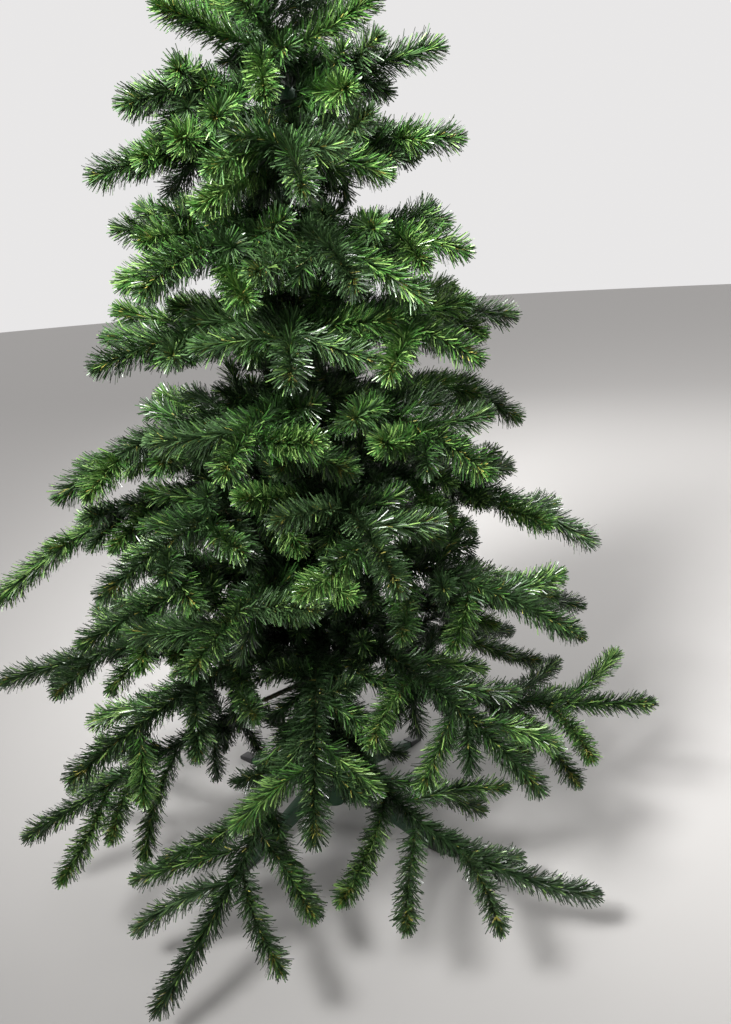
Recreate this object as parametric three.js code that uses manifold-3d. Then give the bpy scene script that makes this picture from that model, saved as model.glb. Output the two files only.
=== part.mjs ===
// Artificial Christmas tree, 1.8 m tall, on its folding steel stand.
// Units are millimetres, +Z is up, and the origin is the centre of the stand's flat
// underside, on the pole's axis. Seen from the front, which is -Y, +X is to the right.
//
// A two-piece steel pole stands in the hub of a four-legged stand. Collars on the pole hold
// nine tiers of hook-on branches. Each branch is a twisted wire stem with side tips, all
// clothed in plastic needles like a bottle brush. The six lowest branches hang on bare
// arms. The pole ends in a fixed leader with whorls of short tips.
import * as THREE from 'three';
import { mergeVertices } from 'three/addons/utils/BufferGeometryUtils.js';
import Module from 'manifold-3d';

const wasm = await Module();
wasm.setup();

// Driving dimensions
const TREE_HEIGHT = 1800;
const GAP = 0.3;                    // clearance between neighbouring pieces
const LOWEST_NEEDLE = 8;            // nothing of the crown hangs lower than this

const STAND = {
  hubRadius: 19, hubHeight: 130, hubSides: 32, floorPlate: 5,
  legReach: 255, legWidth: 18, legTop: 82, legRoot: 40,
  toeLength: 38, toeHeight: 7, instepLength: 32, instepHeight: 12, firstLeg: 45,
  screwHeight: 108, screwRadius: 3, screwLength: 34, screwSides: 16,
  knobRadius: 11, knobLength: 14, knobOverlap: 1,
};
const POLE = {
  lowerRadius: 14, upperRadius: 11, joint: 700, spigotRadius: 10, spigotLength: 45,
  collarRadius: 24, collarHeight: 18, sides: 16,
};
const BOUGH = { rootRadius: 5, tipRadius: 4, drop: 14, sides: 8 };
const BRUSH = {
  rootCore: 5, fullCore: 8, tipCore: 5,   // radius of the three-sided core
  fullPlace: 0.2,                         // where along a stem its core is thickest
  needleReach: 34, tipNeedleReach: 31,    // how far a needle's point stands from the axis
  toothPlace: 0.8,                        // where along its segment a needle's point is
  budLength: 14,                          // needles that close over the end of the wire
  bareTip: 24,                            // bare start of a side tip at the stem
  stemSegment: 84, tipSegment: 66,
  fewestStemSteps: 4, fewestTipSteps: 2,
};

// The cone that the crown fills: its radius at a height
const CONE_FOOT = 640;
const CONE_SLOPE = 0.355;

// The tiers, from the lowest up. Each branch is
// [azimuth, swing, reach, rise, lift, tips]: azimuth at its root and how far it has turned
// at its tip, in degrees; the tip's distance from the axis and its height over the root;
// the slope at the root, in degrees; and the number of side tips.
const TIERS = [
  { z: 250, root: 150, bough: true, tipLength: 188, fan: [46, 70], span: [0.32, 0.64],
    branches: [
    [206, -4, 540, -120, -8, 5], [252, -10, 566, -201, -8, 7],
    [280, 33, 552, -176, -8, 6], [338, 0, 565, 15, -4, 6],
    [40, 0, 560, -110, -6, 6], [118, 0, 560, -130, -6, 6]] },
  { z: 370, root: 24, skirt: true, tipLength: 155, fan: [38, 64], span: [0.28, 0.74],
    branches: [
    [187, 0, 545, -30, 6, 6], [225, 0, 510, -45, 6, 6],
    [266, 0, 475, -105, 2, 6], [302, 0, 520, -85, 6, 6],
    [12, 0, 520, -70, 6, 6], [92, 0, 510, -60, 6, 6]] },
  { z: 490, root: 24, tipLength: 155, fan: [38, 62], span: [0.28, 0.74], branches: [
    [212, 0, 420, -30, 10, 5], [247, 0, 440, 0, 14, 5],
    [318, 0, 480, -35, 12, 5], [50, 0, 470, -40, 10, 6],
    [130, 0, 470, -30, 10, 6]] },
  { z: 620, root: 24, tipLength: 155, fan: [34, 60], span: [0.25, 0.72], branches: [
    [180, 0, 545, -165, 12, 4], [229, 0, 435, -45, 10, 5],
    [284, 0, 430, -40, 14, 5], [346, 0, 470, -115, 12, 5],
    [52, 0, 440, -60, 12, 5], [115, 0, 440, -60, 12, 5]] },
  { z: 750, root: 24, tipLength: 160, fan: [30, 54], span: [0.2, 0.68], branches: [
    [196, 0, 400, -95, 8, 4], [253, 0, 365, -20, 16, 5],
    [310, 0, 385, -65, 12, 5], [20, 0, 385, -40, 12, 4],
    [95, 0, 390, -40, 12, 5]] },
  { z: 880, root: 24, tipLength: 160, fan: [26, 50], span: [0.16, 0.62], branches: [
    [212, 0, 335, -25, 10, 4], [268, 0, 335, -45, 16, 5],
    [316, 0, 345, -45, 14, 4], [3, 0, 362, -12, 8, 4],
    [125, 0, 340, -10, 14, 5]] },
  { z: 1000, root: 24, tipLength: 155, fan: [24, 48], span: [0.14, 0.58], branches: [
    [178, 0, 262, 45, 14, 3], [232, 0, 315, -45, 16, 4],
    [286, 0, 305, -60, 18, 4], [332, 0, 290, -25, 14, 4],
    [70, 0, 300, -10, 14, 4]] },
  { z: 1120, root: 24, tipLength: 150, fan: [24, 48], span: [0.12, 0.56], branches: [
    [192, 0, 280, -10, 18, 4], [276, 0, 255, -60, 20, 4],
    [342, 0, 275, 12, 14, 4], [115, 0, 270, 10, 18, 4]] },
  { z: 1215, root: 24, tipLength: 140, fan: [24, 48], span: [0.12, 0.54], branches: [
    [208, 0, 235, -20, 12, 4], [344, 0, 250, 40, 14, 4],
    [65, 0, 235, 20, 16, 4]] },
];

// The leader's whorls: height, number of tips, azimuth of the first, length, slope
const LEADER_FOOT = 1262;
const LEADER_STEPS = 7;
const WHORLS = [
  [1290, 3, 262, 150, -42], [1272, 3, 212, 195, 16], [1320, 3, 272, 178, 24],
  [1380, 3, 222, 165, 32],
  [1450, 3, 282, 145, 38], [1525, 3, 222, 125, 44], [1600, 3, 282, 100, 50],
  [1680, 2, 250, 80, 56],
];

// Rules for side tips along a branch
const SIDE = {
  jitter: 0.02,                           // how far a place along the stem may shift
  longest: 1.25, shorten: 0.4,            // length falls towards the stem's tip,
  least: 0.85, most: 1.1,                 // and varies from tip to tip
  tilt: 20, tries: 5, shortest: 75, trim: 8,
  skirtFront: [14, 26],                   // how much wider tips stand towards the front,
  crownFront: [30, 10],                   // and how far they hang, in tier 2 and above it,
  backDroop: 10, boughDroop: 12,          // how far at the back, and on the lowest branches
  outside: 12, inside: -25,               // how far tips end past or short of the cone
  lowest: 36, clearance: 22, start: 24,   // lowest end, and free room round a tip
};

// Colours of the needles and of the painted steel
const NEEDLE_GREENS = [0x2f5a2c, 0x3a6a33, 0x27502a, 0x456f38, 0x335f30];
const NEEDLE_FINISH = [0.55, 0];      // roughness and metalness
const STEEL_FINISH = [0.45, 0.4];
const SCREW_FINISH = [0.6, 0];
const POLE_GREEN = 0x1f3a26;
const STAND_GREEN = 0x24402b;
const SCREW_BLACK = 0x1b1b1b;

const TINY = 1e-9;                  // less than this counts as nothing
const SEARCH_STEPS = 40;            // most steps in finding two pieces' nearest points
const STEEP = 0.95;                 // a path this upright has no level side of its own

const radians = THREE.MathUtils.degToRad;
const point = (x, y, z) => new THREE.Vector3(x, y, z);

// Seeded random numbers from 0 to 1
class Seeded {
  constructor(seed) {
    this.state = (seed * 2654435761 + 12345) % 4294967296;
    this.next();
    this.next();
  }

  next() {
    this.state = (1664525 * this.state + 1013904223) % 4294967296;
    return this.state / 4294967296;
  }

  between(low, high) {
    return low + (high - low) * this.next();
  }
}

// Turn a closed geometry into a solid, and a solid back into a geometry
function toSolid(geometry) {
  const bare = geometry.clone();
  bare.deleteAttribute('normal');
  bare.deleteAttribute('uv');
  const merged = mergeVertices(bare, 1e-3);
  return new wasm.Manifold(new wasm.Mesh({
    numProp: 3,
    vertProperties: new Float32Array(merged.attributes.position.array),
    triVerts: new Uint32Array(merged.index.array),
  }));
}

function toGeometry(solid) {
  const mesh = solid.getMesh();
  const geometry = new THREE.BufferGeometry();
  geometry.setAttribute('position', new THREE.BufferAttribute(mesh.vertProperties, 3));
  geometry.setIndex(new THREE.BufferAttribute(mesh.triVerts, 1));
  return geometry;
}

// A branch's stem is a parabola in an upright plane that turns by its swing
function stemPoint(branch, u) {
  const { z, root, reach, rise, lift, azimuth, swing } = branch;
  const middle = (root + reach) / 2;
  const middleZ = z + (middle - root) * Math.tan(radians(lift));
  const radius = (1 - u) ** 2 * root + 2 * u * (1 - u) * middle + u * u * reach;
  const height = (1 - u) ** 2 * z + 2 * u * (1 - u) * middleZ + u * u * (z + rise);
  const angle = radians(azimuth + swing * u * u);
  return point(radius * Math.cos(angle), radius * Math.sin(angle), height);
}

// Direction of a side tip that leaves the stem's direction by splay and tilt
function sideDirection(along, splay, tilt) {
  const flat = Math.hypot(along.x, along.y);
  const slope = Math.atan2(along.z, flat) * Math.cos(splay) + tilt;
  const x = (along.x * Math.cos(splay) - along.y * Math.sin(splay)) / flat;
  const y = (along.x * Math.sin(splay) + along.y * Math.cos(splay)) / flat;
  return point(x * Math.cos(slope), y * Math.cos(slope), Math.sin(slope));
}

// Shortest distance between two straight stretches
function stretchDistance(startA, endA, startB, endB) {
  const a = endA.clone().sub(startA);
  const b = endB.clone().sub(startB);
  const between = startA.clone().sub(startB);
  const aa = a.dot(a);
  const bb = b.dot(b);
  const ab = a.dot(b);
  const ac = a.dot(between);
  const bc = b.dot(between);
  const spread = aa * bb - ab * ab;
  let s = spread > TINY ? THREE.MathUtils.clamp((ab * bc - ac * bb) / spread, 0, 1) : 0;
  let t = (ab * s + bc) / bb;
  if (t < 0) {
    t = 0;
    s = THREE.MathUtils.clamp(-ac / aa, 0, 1);
  } else if (t > 1) {
    t = 1;
    s = THREE.MathUtils.clamp((ab - ac) / aa, 0, 1);
  }
  return startA.clone().addScaledVector(a, s).distanceTo(startB.clone().addScaledVector(b, t));
}

// How far a branch's side tips stand wider than its tier's fan, and how far they hang, in
// degrees. The lowest branches slope by themselves and hang a little at the front.
function tipHabit(branch) {
  const front = -Math.sin(radians(branch.azimuth));
  if (branch.bough) {
    return { wider: 0, droop: SIDE.boughDroop * Math.max(front, 0) };
  }
  const [wider, droop] = branch.skirt ? SIDE.skirtFront : SIDE.crownFront;
  return {
    wider: wider * Math.max(front, 0),
    droop: front > 0 ? droop * front : -SIDE.backDroop * front,
  };
}

const insideCrown = (p, edge) => (
  Math.hypot(p.x, p.y) <= CONE_FOOT - CONE_SLOPE * p.z + edge && p.z > SIDE.lowest);

// Every branch with its stem, in the order of the seeds
function planBranches() {
  const planned = [];
  TIERS.forEach((tier, level) => {
    tier.branches.forEach((row, place) => {
      const [azimuth, swing, reach, rise, lift, tips] = row;
      const branch = {
        name: `foliage_tier${level + 1}_${place + 1}`, seed: planned.length + 1,
        bough: tier.bough, skirt: tier.skirt, z: tier.z, root: tier.root + GAP,
        tipLength: tier.tipLength, fan: tier.fan, span: tier.span,
        azimuth, swing, reach, rise, lift, tips, sides: [],
      };
      const steps = Math.max(
        BRUSH.fewestStemSteps, Math.round((reach - branch.root) / BRUSH.stemSegment));
      branch.stem = [];
      for (let k = 0; k <= steps; k += 1) {
        branch.stem.push(stemPoint(branch, k / steps));
      }
      planned.push(branch);
    });
  });
  return planned;
}

// Side tips by the seeded rule: one that would leave the crown or come near another
// branch is tried again a few times, then skipped
function growSides(planned, leader) {
  const taken = [];
  const take = (name, start, end) => taken.push({ name, start, end });
  for (const branch of planned) {
    for (let k = 1; k < branch.stem.length; k += 1) {
      take(branch.name, branch.stem[k - 1], branch.stem[k]);
    }
  }
  for (const side of leader) {
    take('foliage_top', side.start, side.end);
  }
  for (const branch of planned) {
    const random = new Seeded(branch.seed);
    const [first, last] = branch.span;
    const step = (last - first) / (branch.tips - 1);
    const { wider, droop } = tipHabit(branch);
    for (let k = 0; k < branch.tips; k += 1) {
      const u = first + step * k + random.between(-SIDE.jitter, SIDE.jitter);
      const start = stemPoint(branch, u);
      const along = stemPoint(branch, u + SIDE.jitter).sub(start).normalize();
      const hand = (k + branch.seed) % 2 ? 1 : -1;
      for (let attempt = 0; attempt < SIDE.tries; attempt += 1) {
        const splay = radians(random.between(branch.fan[0], branch.fan[1]) + wider) * hand;
        const tilt = radians(random.between(-SIDE.tilt, SIDE.tilt) - droop);
        const direction = sideDirection(along, splay, tilt);
        const longest = branch.tipLength * (SIDE.longest - SIDE.shorten * u);
        let length = longest * random.between(SIDE.least, SIDE.most);
        const edge = random.between(SIDE.inside, SIDE.outside);
        const end = () => start.clone().addScaledVector(direction, length);
        while (length > SIDE.shortest && !insideCrown(end(), edge)) {
          length -= SIDE.trim;
        }
        if (length <= SIDE.shortest) {
          continue;
        }
        const clear = start.clone().addScaledVector(direction, SIDE.start);
        const tipEnd = end();
        const free = taken.every((other) => other.name === branch.name
          || stretchDistance(clear, tipEnd, other.start, other.end) > SIDE.clearance);
        if (free) {
          branch.sides.push({ start, end: tipEnd });
          take(branch.name, clear, tipEnd);
          break;
        }
      }
    }
  }
}

// The leader's tips stand in whorls round the top of the pole
function planLeader() {
  const sides = [];
  for (const [z, count, first, length, slope] of WHORLS) {
    for (let k = 0; k < count; k += 1) {
      const angle = radians(first + (360 / count) * k);
      const flat = length * Math.cos(radians(slope));
      const start = point(0, 0, z);
      const end = point(flat * Math.cos(angle), flat * Math.sin(angle),
        z + length * Math.sin(radians(slope)));
      sides.push({ start, end });
    }
  }
  return sides;
}

// Convex pieces that are already in place, for keeping needles clear of them
const placed = [];

function addPiece(owner, points, sunk = false) {
  const centre = point(0, 0, 0);
  points.forEach((p) => centre.addScaledVector(p, 1 / points.length));
  const radius = Math.max(...points.map((p) => p.distanceTo(centre)));
  placed.push({ owner, mass: owner.split('/')[0], points, centre, radius, sunk });
}

// True where two convex sets of points are surely more than a margin apart: the nearest
// point of their difference is approached step by step
function apart(first, second, margin) {
  const nearest = first[0].clone().sub(second[0]);
  for (let step = 0; step < SEARCH_STEPS; step += 1) {
    const length = nearest.length();
    if (length < margin) {
      return false;
    }
    const low = (set, sign) => set.reduce((best, p) => (
      sign * p.dot(nearest) < sign * best.dot(nearest) ? p : best));
    const support = low(first, 1).clone().sub(low(second, -1));
    if (support.dot(nearest) / length > margin) {
      return true;
    }
    const towards = support.clone().sub(nearest);
    const size = towards.lengthSq();
    if (size < TINY) {
      return false;
    }
    nearest.addScaledVector(towards, THREE.MathUtils.clamp(-nearest.dot(towards) / size, 0, 1));
  }
  return false;
}

// A needle is free where it is clear of every other brush and of the steel. The root of
// a side tip is sunk in its own mass, so needles of that mass may run into it.
function isFree(owner, points) {
  const mass = owner.split('/')[0];
  const centre = point(0, 0, 0);
  points.forEach((p) => centre.addScaledVector(p, 1 / points.length));
  const radius = Math.max(...points.map((p) => p.distanceTo(centre)));
  return placed.every((other) => other.owner === owner
    || (other.sunk && other.mass === mass)
    || other.centre.distanceTo(centre) > other.radius + radius + GAP
    || apart(points, other.points, 2 * GAP));
}

// Rings of a three-sided core, each turned by sixty degrees from the last. The first
// ring stands across `firstAxis`, so a root can lie flat against what it meets.
function brushRings(path, coreRadius, firstAxis) {
  return path.map((centre, k) => {
    const before = path[Math.max(k - 1, 0)];
    const after = path[Math.min(k + 1, path.length - 1)];
    const along = k === 0 && firstAxis ? firstAxis.clone() : after.clone().sub(before).normalize();
    const level = Math.abs(along.z) > STEEP ? point(1, 0, 0) : point(0, 0, 1);
    const side = along.clone().cross(level).normalize();
    const up = along.clone().cross(side);
    const radius = coreRadius(k / (path.length - 1));
    const corner = (turns) => {
      const angle = radians(60 * turns);
      return side.clone().multiplyScalar(Math.cos(angle)).addScaledVector(up, Math.sin(angle));
    };
    return {
      centre, along, corner,
      points: [0, 2, 4].map((turn) => centre.clone().addScaledVector(corner(turn + k), radius)),
    };
  });
}

// One brush: its rings, and the end point of its bud
function planBrush(owner, path, coreRadius, reach, bareSegments, firstAxis) {
  const rings = brushRings(path, coreRadius, firstAxis);
  const last = rings[rings.length - 1];
  const bud = last.centre.clone().addScaledVector(last.along, BRUSH.budLength);
  for (let k = 1; k < rings.length; k += 1) {
    const sunk = k === 1 && !firstAxis;
    addPiece(owner, [...rings[k - 1].points, ...rings[k].points], sunk);
  }
  addPiece(owner, [...last.points, bud]);
  return { owner, rings, bud, reach, bareSegments };
}

// The closed skin of a brush, with a needle on every other face that is free
function brushGeometry(brush) {
  const corners = [];
  const face = (...points) => points.forEach((p) => corners.push(p.x, p.y, p.z));
  const { rings } = brush;
  face(rings[0].points[2], rings[0].points[1], rings[0].points[0]);
  for (let k = 1; k < rings.length; k += 1) {
    const lower = rings[k - 1];
    const upper = rings[k];
    for (let j = 0; j < 3; j += 1) {
      const a = lower.points[j];
      const b = lower.points[(j + 1) % 3];
      const c = upper.points[j];
      const d = upper.points[(j + 1) % 3];
      const outward = lower.corner(2 * j + k);
      const apex = lower.centre.clone().lerp(upper.centre, BRUSH.toothPlace)
        .addScaledVector(outward, brush.reach);
      const toothed = k > brush.bareSegments && apex.z > LOWEST_NEEDLE
        && isFree(brush.owner, [a, b, c, apex]);
      if (toothed) {
        addPiece(brush.owner, [a, b, c, apex]);
        face(a, b, apex);
        face(b, c, apex);
        face(c, a, apex);
      } else {
        face(a, b, c);
      }
      face(b, d, c);
    }
  }
  const last = rings[rings.length - 1];
  for (let j = 0; j < 3; j += 1) {
    face(last.points[j], last.points[(j + 1) % 3], brush.bud);
  }
  const geometry = new THREE.BufferGeometry();
  geometry.setAttribute('position', new THREE.Float32BufferAttribute(corners, 3));
  return geometry;
}

// The stem's core swells after its root and thins to its tip
function stemCore(u) {
  const swell = THREE.MathUtils.clamp(u / BRUSH.fullPlace, 0, 1);
  const thin = THREE.MathUtils.clamp((u - BRUSH.fullPlace) / (1 - BRUSH.fullPlace), 0, 1);
  return BRUSH.rootCore + (BRUSH.fullCore - BRUSH.rootCore) * swell
    - (BRUSH.fullCore - BRUSH.tipCore) * thin;
}
const tipCore = () => BRUSH.tipCore;

function planTip(owner, side) {
  const along = side.end.clone().sub(side.start);
  const length = along.length() - BRUSH.budLength;
  along.normalize();
  const steps = Math.max(
    BRUSH.fewestTipSteps, Math.round((length - BRUSH.bareTip) / BRUSH.tipSegment));
  const path = [side.start.clone()];
  for (let k = 0; k <= steps; k += 1) {
    const distance = BRUSH.bareTip + (length - BRUSH.bareTip) * (k / steps);
    path.push(side.start.clone().addScaledVector(along, distance));
  }
  return planBrush(owner, path, tipCore, BRUSH.tipNeedleReach, 1);
}

const tree = new THREE.Group();

function addMesh(name, geometry, colour, [roughness, metalness]) {
  const material = new THREE.MeshStandardMaterial({ color: colour, roughness, metalness });
  const mesh = new THREE.Mesh(geometry, material);
  mesh.name = name;
  tree.add(mesh);
}

// One mass of foliage: its brushes joined into one solid
function addMass(name, brushes, colour) {
  let mass = toSolid(brushGeometry(brushes[0]));
  for (const brush of brushes.slice(1)) {
    mass = mass.add(toSolid(brushGeometry(brush)));
  }
  const [whole] = mass.decompose().sort((a, b) => b.volume() - a.volume());
  addMesh(name, toGeometry(whole), colour, NEEDLE_FINISH);
}

// A turned piece, from its profile of radii and heights
const lathe = (profile, sides) => {
  const geometry = new THREE.LatheGeometry(profile.map(([r, z]) => new THREE.Vector2(r, z)), sides);
  geometry.rotateX(Math.PI / 2);
  return geometry;
};

// The stand's hub is a socket with a closed, flat foot and a hole for the clamp screw
function addHub() {
  const bore = POLE.lowerRadius + GAP;
  const tube = lathe([
    [0, 0], [STAND.hubRadius, 0], [STAND.hubRadius, STAND.hubHeight], [bore, STAND.hubHeight],
    [bore, STAND.floorPlate], [0, STAND.floorPlate],
  ], STAND.hubSides);
  const hole = screwRod(bore - GAP, STAND.hubRadius + GAP, STAND.screwRadius + GAP);
  addMesh('stand_hub', toGeometry(toSolid(tube).subtract(toSolid(hole))), STAND_GREEN, STEEL_FINISH);
}

// A rod on the clamp screw's line, between two distances from the axis
function screwRod(inner, outer, radius) {
  const rod = new THREE.CylinderGeometry(radius, radius, outer - inner, STAND.screwSides);
  rod.rotateZ(Math.PI / 2);
  rod.translate((inner + outer) / 2, 0, STAND.screwHeight);
  return rod;
}

function addClampScrew() {
  const start = POLE.lowerRadius + GAP;
  const end = start + STAND.screwLength;
  const shaft = toSolid(screwRod(start, end, STAND.screwRadius));
  const knob = toSolid(screwRod(end - STAND.knobOverlap, end + STAND.knobLength, STAND.knobRadius));
  addMesh('stand_clamp_screw', toGeometry(shaft.add(knob)), SCREW_BLACK, SCREW_FINISH);
}

function addLegs() {
  const root = STAND.hubRadius + GAP;
  const outline = new THREE.Shape([
    [root, STAND.legRoot], [STAND.legReach - STAND.toeLength, 0], [STAND.legReach, 0],
    [STAND.legReach, STAND.toeHeight], [STAND.legReach - STAND.instepLength, STAND.instepHeight],
    [root, STAND.legTop],
  ].map(([r, z]) => new THREE.Vector2(r, z)));
  for (let k = 0; k < 4; k += 1) {
    const leg = new THREE.ExtrudeGeometry(outline, { depth: STAND.legWidth, bevelEnabled: false });
    leg.rotateX(Math.PI / 2);
    leg.translate(0, STAND.legWidth / 2, 0);
    leg.rotateZ(radians(STAND.firstLeg + 90 * k));
    addMesh(`stand_leg_${k + 1}`, leg, STAND_GREEN, STEEL_FINISH);
  }
}

// The pole's two pieces, with a collar at the foot of each tier
function collarProfile(tiers, radius) {
  const points = [];
  for (const tier of tiers) {
    const low = tier - POLE.collarHeight / 2;
    const high = tier + POLE.collarHeight / 2;
    points.push([radius, low], [POLE.collarRadius, low], [POLE.collarRadius, high], [radius, high]);
  }
  return points;
}

// The lowest tier's boughs slope down from a collar that sits higher by their drop
const collarHeights = TIERS.map((tier) => tier.z + (tier.bough ? BOUGH.drop : 0));

function addPole() {
  const lower = POLE.lowerRadius;
  const upper = POLE.upperRadius;
  const foot = STAND.floorPlate + GAP;
  const boreDepth = POLE.joint - POLE.spigotLength - GAP;
  const below = collarHeights.filter((z) => z < POLE.joint);
  const above = collarHeights.filter((z) => z > POLE.joint);
  addMesh('pole_lower', lathe([
    [0, foot], [lower, foot], ...collarProfile(below, lower), [lower, POLE.joint],
    [POLE.spigotRadius + GAP, POLE.joint], [POLE.spigotRadius + GAP, boreDepth], [0, boreDepth],
  ], POLE.sides), POLE_GREEN, STEEL_FINISH);
  const top = LEADER_FOOT - GAP;
  addMesh('pole_upper', lathe([
    [0, POLE.joint - POLE.spigotLength], [POLE.spigotRadius, POLE.joint - POLE.spigotLength],
    [POLE.spigotRadius, POLE.joint + GAP], [upper, POLE.joint + GAP],
    ...collarProfile(above, upper), [upper, top], [0, top],
  ], POLE.sides), POLE_GREEN, STEEL_FINISH);
}

// The bare arms that carry the lowest branches: tapered rods, sheared so that both their
// ends stay upright
function addBoughs() {
  const tier = TIERS[0];
  const inner = POLE.collarRadius + GAP;
  const length = tier.root - inner;
  const slope = BOUGH.drop / length;
  tier.branches.forEach(([azimuth], k) => {
    const arm = new THREE.CylinderGeometry(BOUGH.tipRadius, BOUGH.rootRadius, length, BOUGH.sides);
    arm.rotateZ(-Math.PI / 2);
    arm.translate(inner + length / 2, 0, 0);
    arm.applyMatrix4(new THREE.Matrix4().set(
      1, 0, 0, 0,
      0, 1, 0, 0,
      -slope, 0, 1, tier.z + slope * tier.root,
      0, 0, 0, 1,
    ));
    arm.rotateZ(radians(azimuth));
    addMesh(`bough_${k + 1}`, arm, POLE_GREEN, STEEL_FINISH);
  });
}

addHub();
addClampScrew();
addLegs();
addPole();
addBoughs();

// The steel as convex pieces, so that needles stay clear of it: the pole as two plain
// cylinders, its collars, and the rest as it is
function addCylinderPiece(name, radius, low, high) {
  const ring = (z) => Array.from({ length: POLE.sides }, (_, k) => {
    const angle = (2 * Math.PI * k) / POLE.sides;
    return point(radius * Math.cos(angle), radius * Math.sin(angle), z);
  });
  addPiece(name, [...ring(low), ...ring(high)]);
}

addCylinderPiece('pole_lower', POLE.lowerRadius, 0, POLE.joint);
addCylinderPiece('pole_upper', POLE.upperRadius, POLE.joint, LEADER_FOOT - GAP);
collarHeights.forEach((z) => {
  const half = POLE.collarHeight / 2;
  addCylinderPiece('collar', POLE.collarRadius, z - half, z + half);
});
for (const mesh of tree.children) {
  if (!mesh.name.startsWith('pole')) {
    const { array } = mesh.geometry.attributes.position;
    const points = [];
    for (let k = 0; k < array.length; k += 3) {
      points.push(point(array[k], array[k + 1], array[k + 2]));
    }
    addPiece(mesh.name, points);
  }
}

// Plan every core first, then clothe them, so that no needle meets a core
const branches = planBranches();
const leaderSides = planLeader();
growSides(branches, leaderSides);
const masses = branches.map((branch) => {
  const radial = point(Math.cos(radians(branch.azimuth)), Math.sin(radians(branch.azimuth)), 0);
  const stem = planBrush(`${branch.name}/stem`, branch.stem, stemCore, BRUSH.needleReach, 1, radial);
  const tips = branch.sides.map((side, k) => planTip(`${branch.name}/${k}`, side));
  return { name: branch.name, brushes: [stem, ...tips] };
});
const leaderHeight = TREE_HEIGHT - BRUSH.budLength - LEADER_FOOT;
const leaderPath = Array.from({ length: LEADER_STEPS + 1 }, (_, k) => (
  point(0, 0, LEADER_FOOT + leaderHeight * (k / LEADER_STEPS))));
masses.push({
  name: 'foliage_top',
  brushes: [
    planBrush('foliage_top/stem', leaderPath, stemCore, BRUSH.needleReach, 0, point(0, 0, 1)),
    ...leaderSides.map((side, k) => planTip(`foliage_top/${k}`, side)),
  ],
});
masses.forEach((mass, k) => {
  addMass(mass.name, mass.brushes, NEEDLE_GREENS[k % NEEDLE_GREENS.length]);
});

export default tree;
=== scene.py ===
"""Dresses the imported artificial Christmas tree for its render.

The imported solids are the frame. Every mass of foliage is replaced by wires and needles that
grow by the same seeded rule as its solid, and are carried on to finer twigs within the same
reach. The rule's sizes are in millimetres, and every mesh is built in metres.
"""

import logging
import math
from collections.abc import Callable
from collections.abc import Iterator
from dataclasses import dataclass
from dataclasses import field
from enum import Enum

import bmesh
import bpy
from mathutils import Matrix
from mathutils import Vector


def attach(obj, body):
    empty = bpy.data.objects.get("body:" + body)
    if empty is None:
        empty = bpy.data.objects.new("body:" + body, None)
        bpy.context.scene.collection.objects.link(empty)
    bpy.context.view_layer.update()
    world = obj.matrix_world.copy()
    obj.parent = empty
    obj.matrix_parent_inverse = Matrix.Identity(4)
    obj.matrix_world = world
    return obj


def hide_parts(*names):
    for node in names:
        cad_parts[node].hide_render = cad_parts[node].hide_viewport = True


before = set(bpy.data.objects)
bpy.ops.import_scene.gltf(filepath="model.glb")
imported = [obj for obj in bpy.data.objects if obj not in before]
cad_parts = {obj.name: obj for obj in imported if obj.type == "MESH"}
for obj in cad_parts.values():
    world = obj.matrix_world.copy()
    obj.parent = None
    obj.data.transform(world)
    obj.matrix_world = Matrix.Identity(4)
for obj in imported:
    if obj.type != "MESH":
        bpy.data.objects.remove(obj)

log = logging.getLogger("tree")

MM = 0.001
UP = Vector((0.0, 0.0, 1.0))
GOLDEN_TURN = math.radians(137.508)
TINY = 1e-9

MODULUS = 2 ** 32
LEADER = "foliage_top"

Piece = bpy.types.Object
Socket = bpy.types.NodeSocket
Pair = tuple[float, float]
Triple = tuple[float, float, float]
Tip = tuple[Vector, Vector]


class Seeded:
    """Random numbers from 0 to 1 that come out the same in every run."""

    def __init__(self, seed: int) -> None:
        """Starts the row of numbers.

        Args:
            seed: a whole number that picks the row.
        """
        self.state = (seed * 2654435761 + 12345) % MODULUS
        self.next()
        self.next()

    def next(self) -> float:
        """The next number from 0 to 1."""
        self.state = (1664525 * self.state + 1013904223) % MODULUS
        return self.state / MODULUS

    def between(self, low: float, high: float) -> float:
        """The next number, brought between two limits."""
        return low + (high - low) * self.next()


class SprayKind(Enum):
    """What a brush of needles grows on."""

    STEM = "stem"
    TIP = "tip"
    FINE = "fine"


class Tone(Enum):
    """The colours that the needles come in."""

    DEEP = "deep"
    FRESH = "fresh"
    COOL = "cool"
    BRIGHT = "bright"
    TAN = "tan"


class Skin(Enum):
    """What the limbs, the pole and the stand are finished in."""

    TAPE = "tape"
    COAT = "coat"
    BLACK = "black"
    ZINC = "zinc"


@dataclass(frozen=True)
class Row:
    """One branch of a tier, with the values that the source of the solids states."""

    azimuth: float
    reach: float
    rise: float
    lift: float
    tips: int
    swing: float = 0.0


@dataclass(frozen=True)
class Tier:
    """A ring of branches that hook into one collar."""

    height: float
    tip_length: float
    fan: Pair
    rows: tuple[Row, ...]
    root: float = 24.0
    span: Pair = (0.28, 0.74)


@dataclass(frozen=True)
class Whorl:
    """A ring of short tips on the leader."""

    height: float
    count: int
    azimuth: float
    length: float
    slope: float


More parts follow.
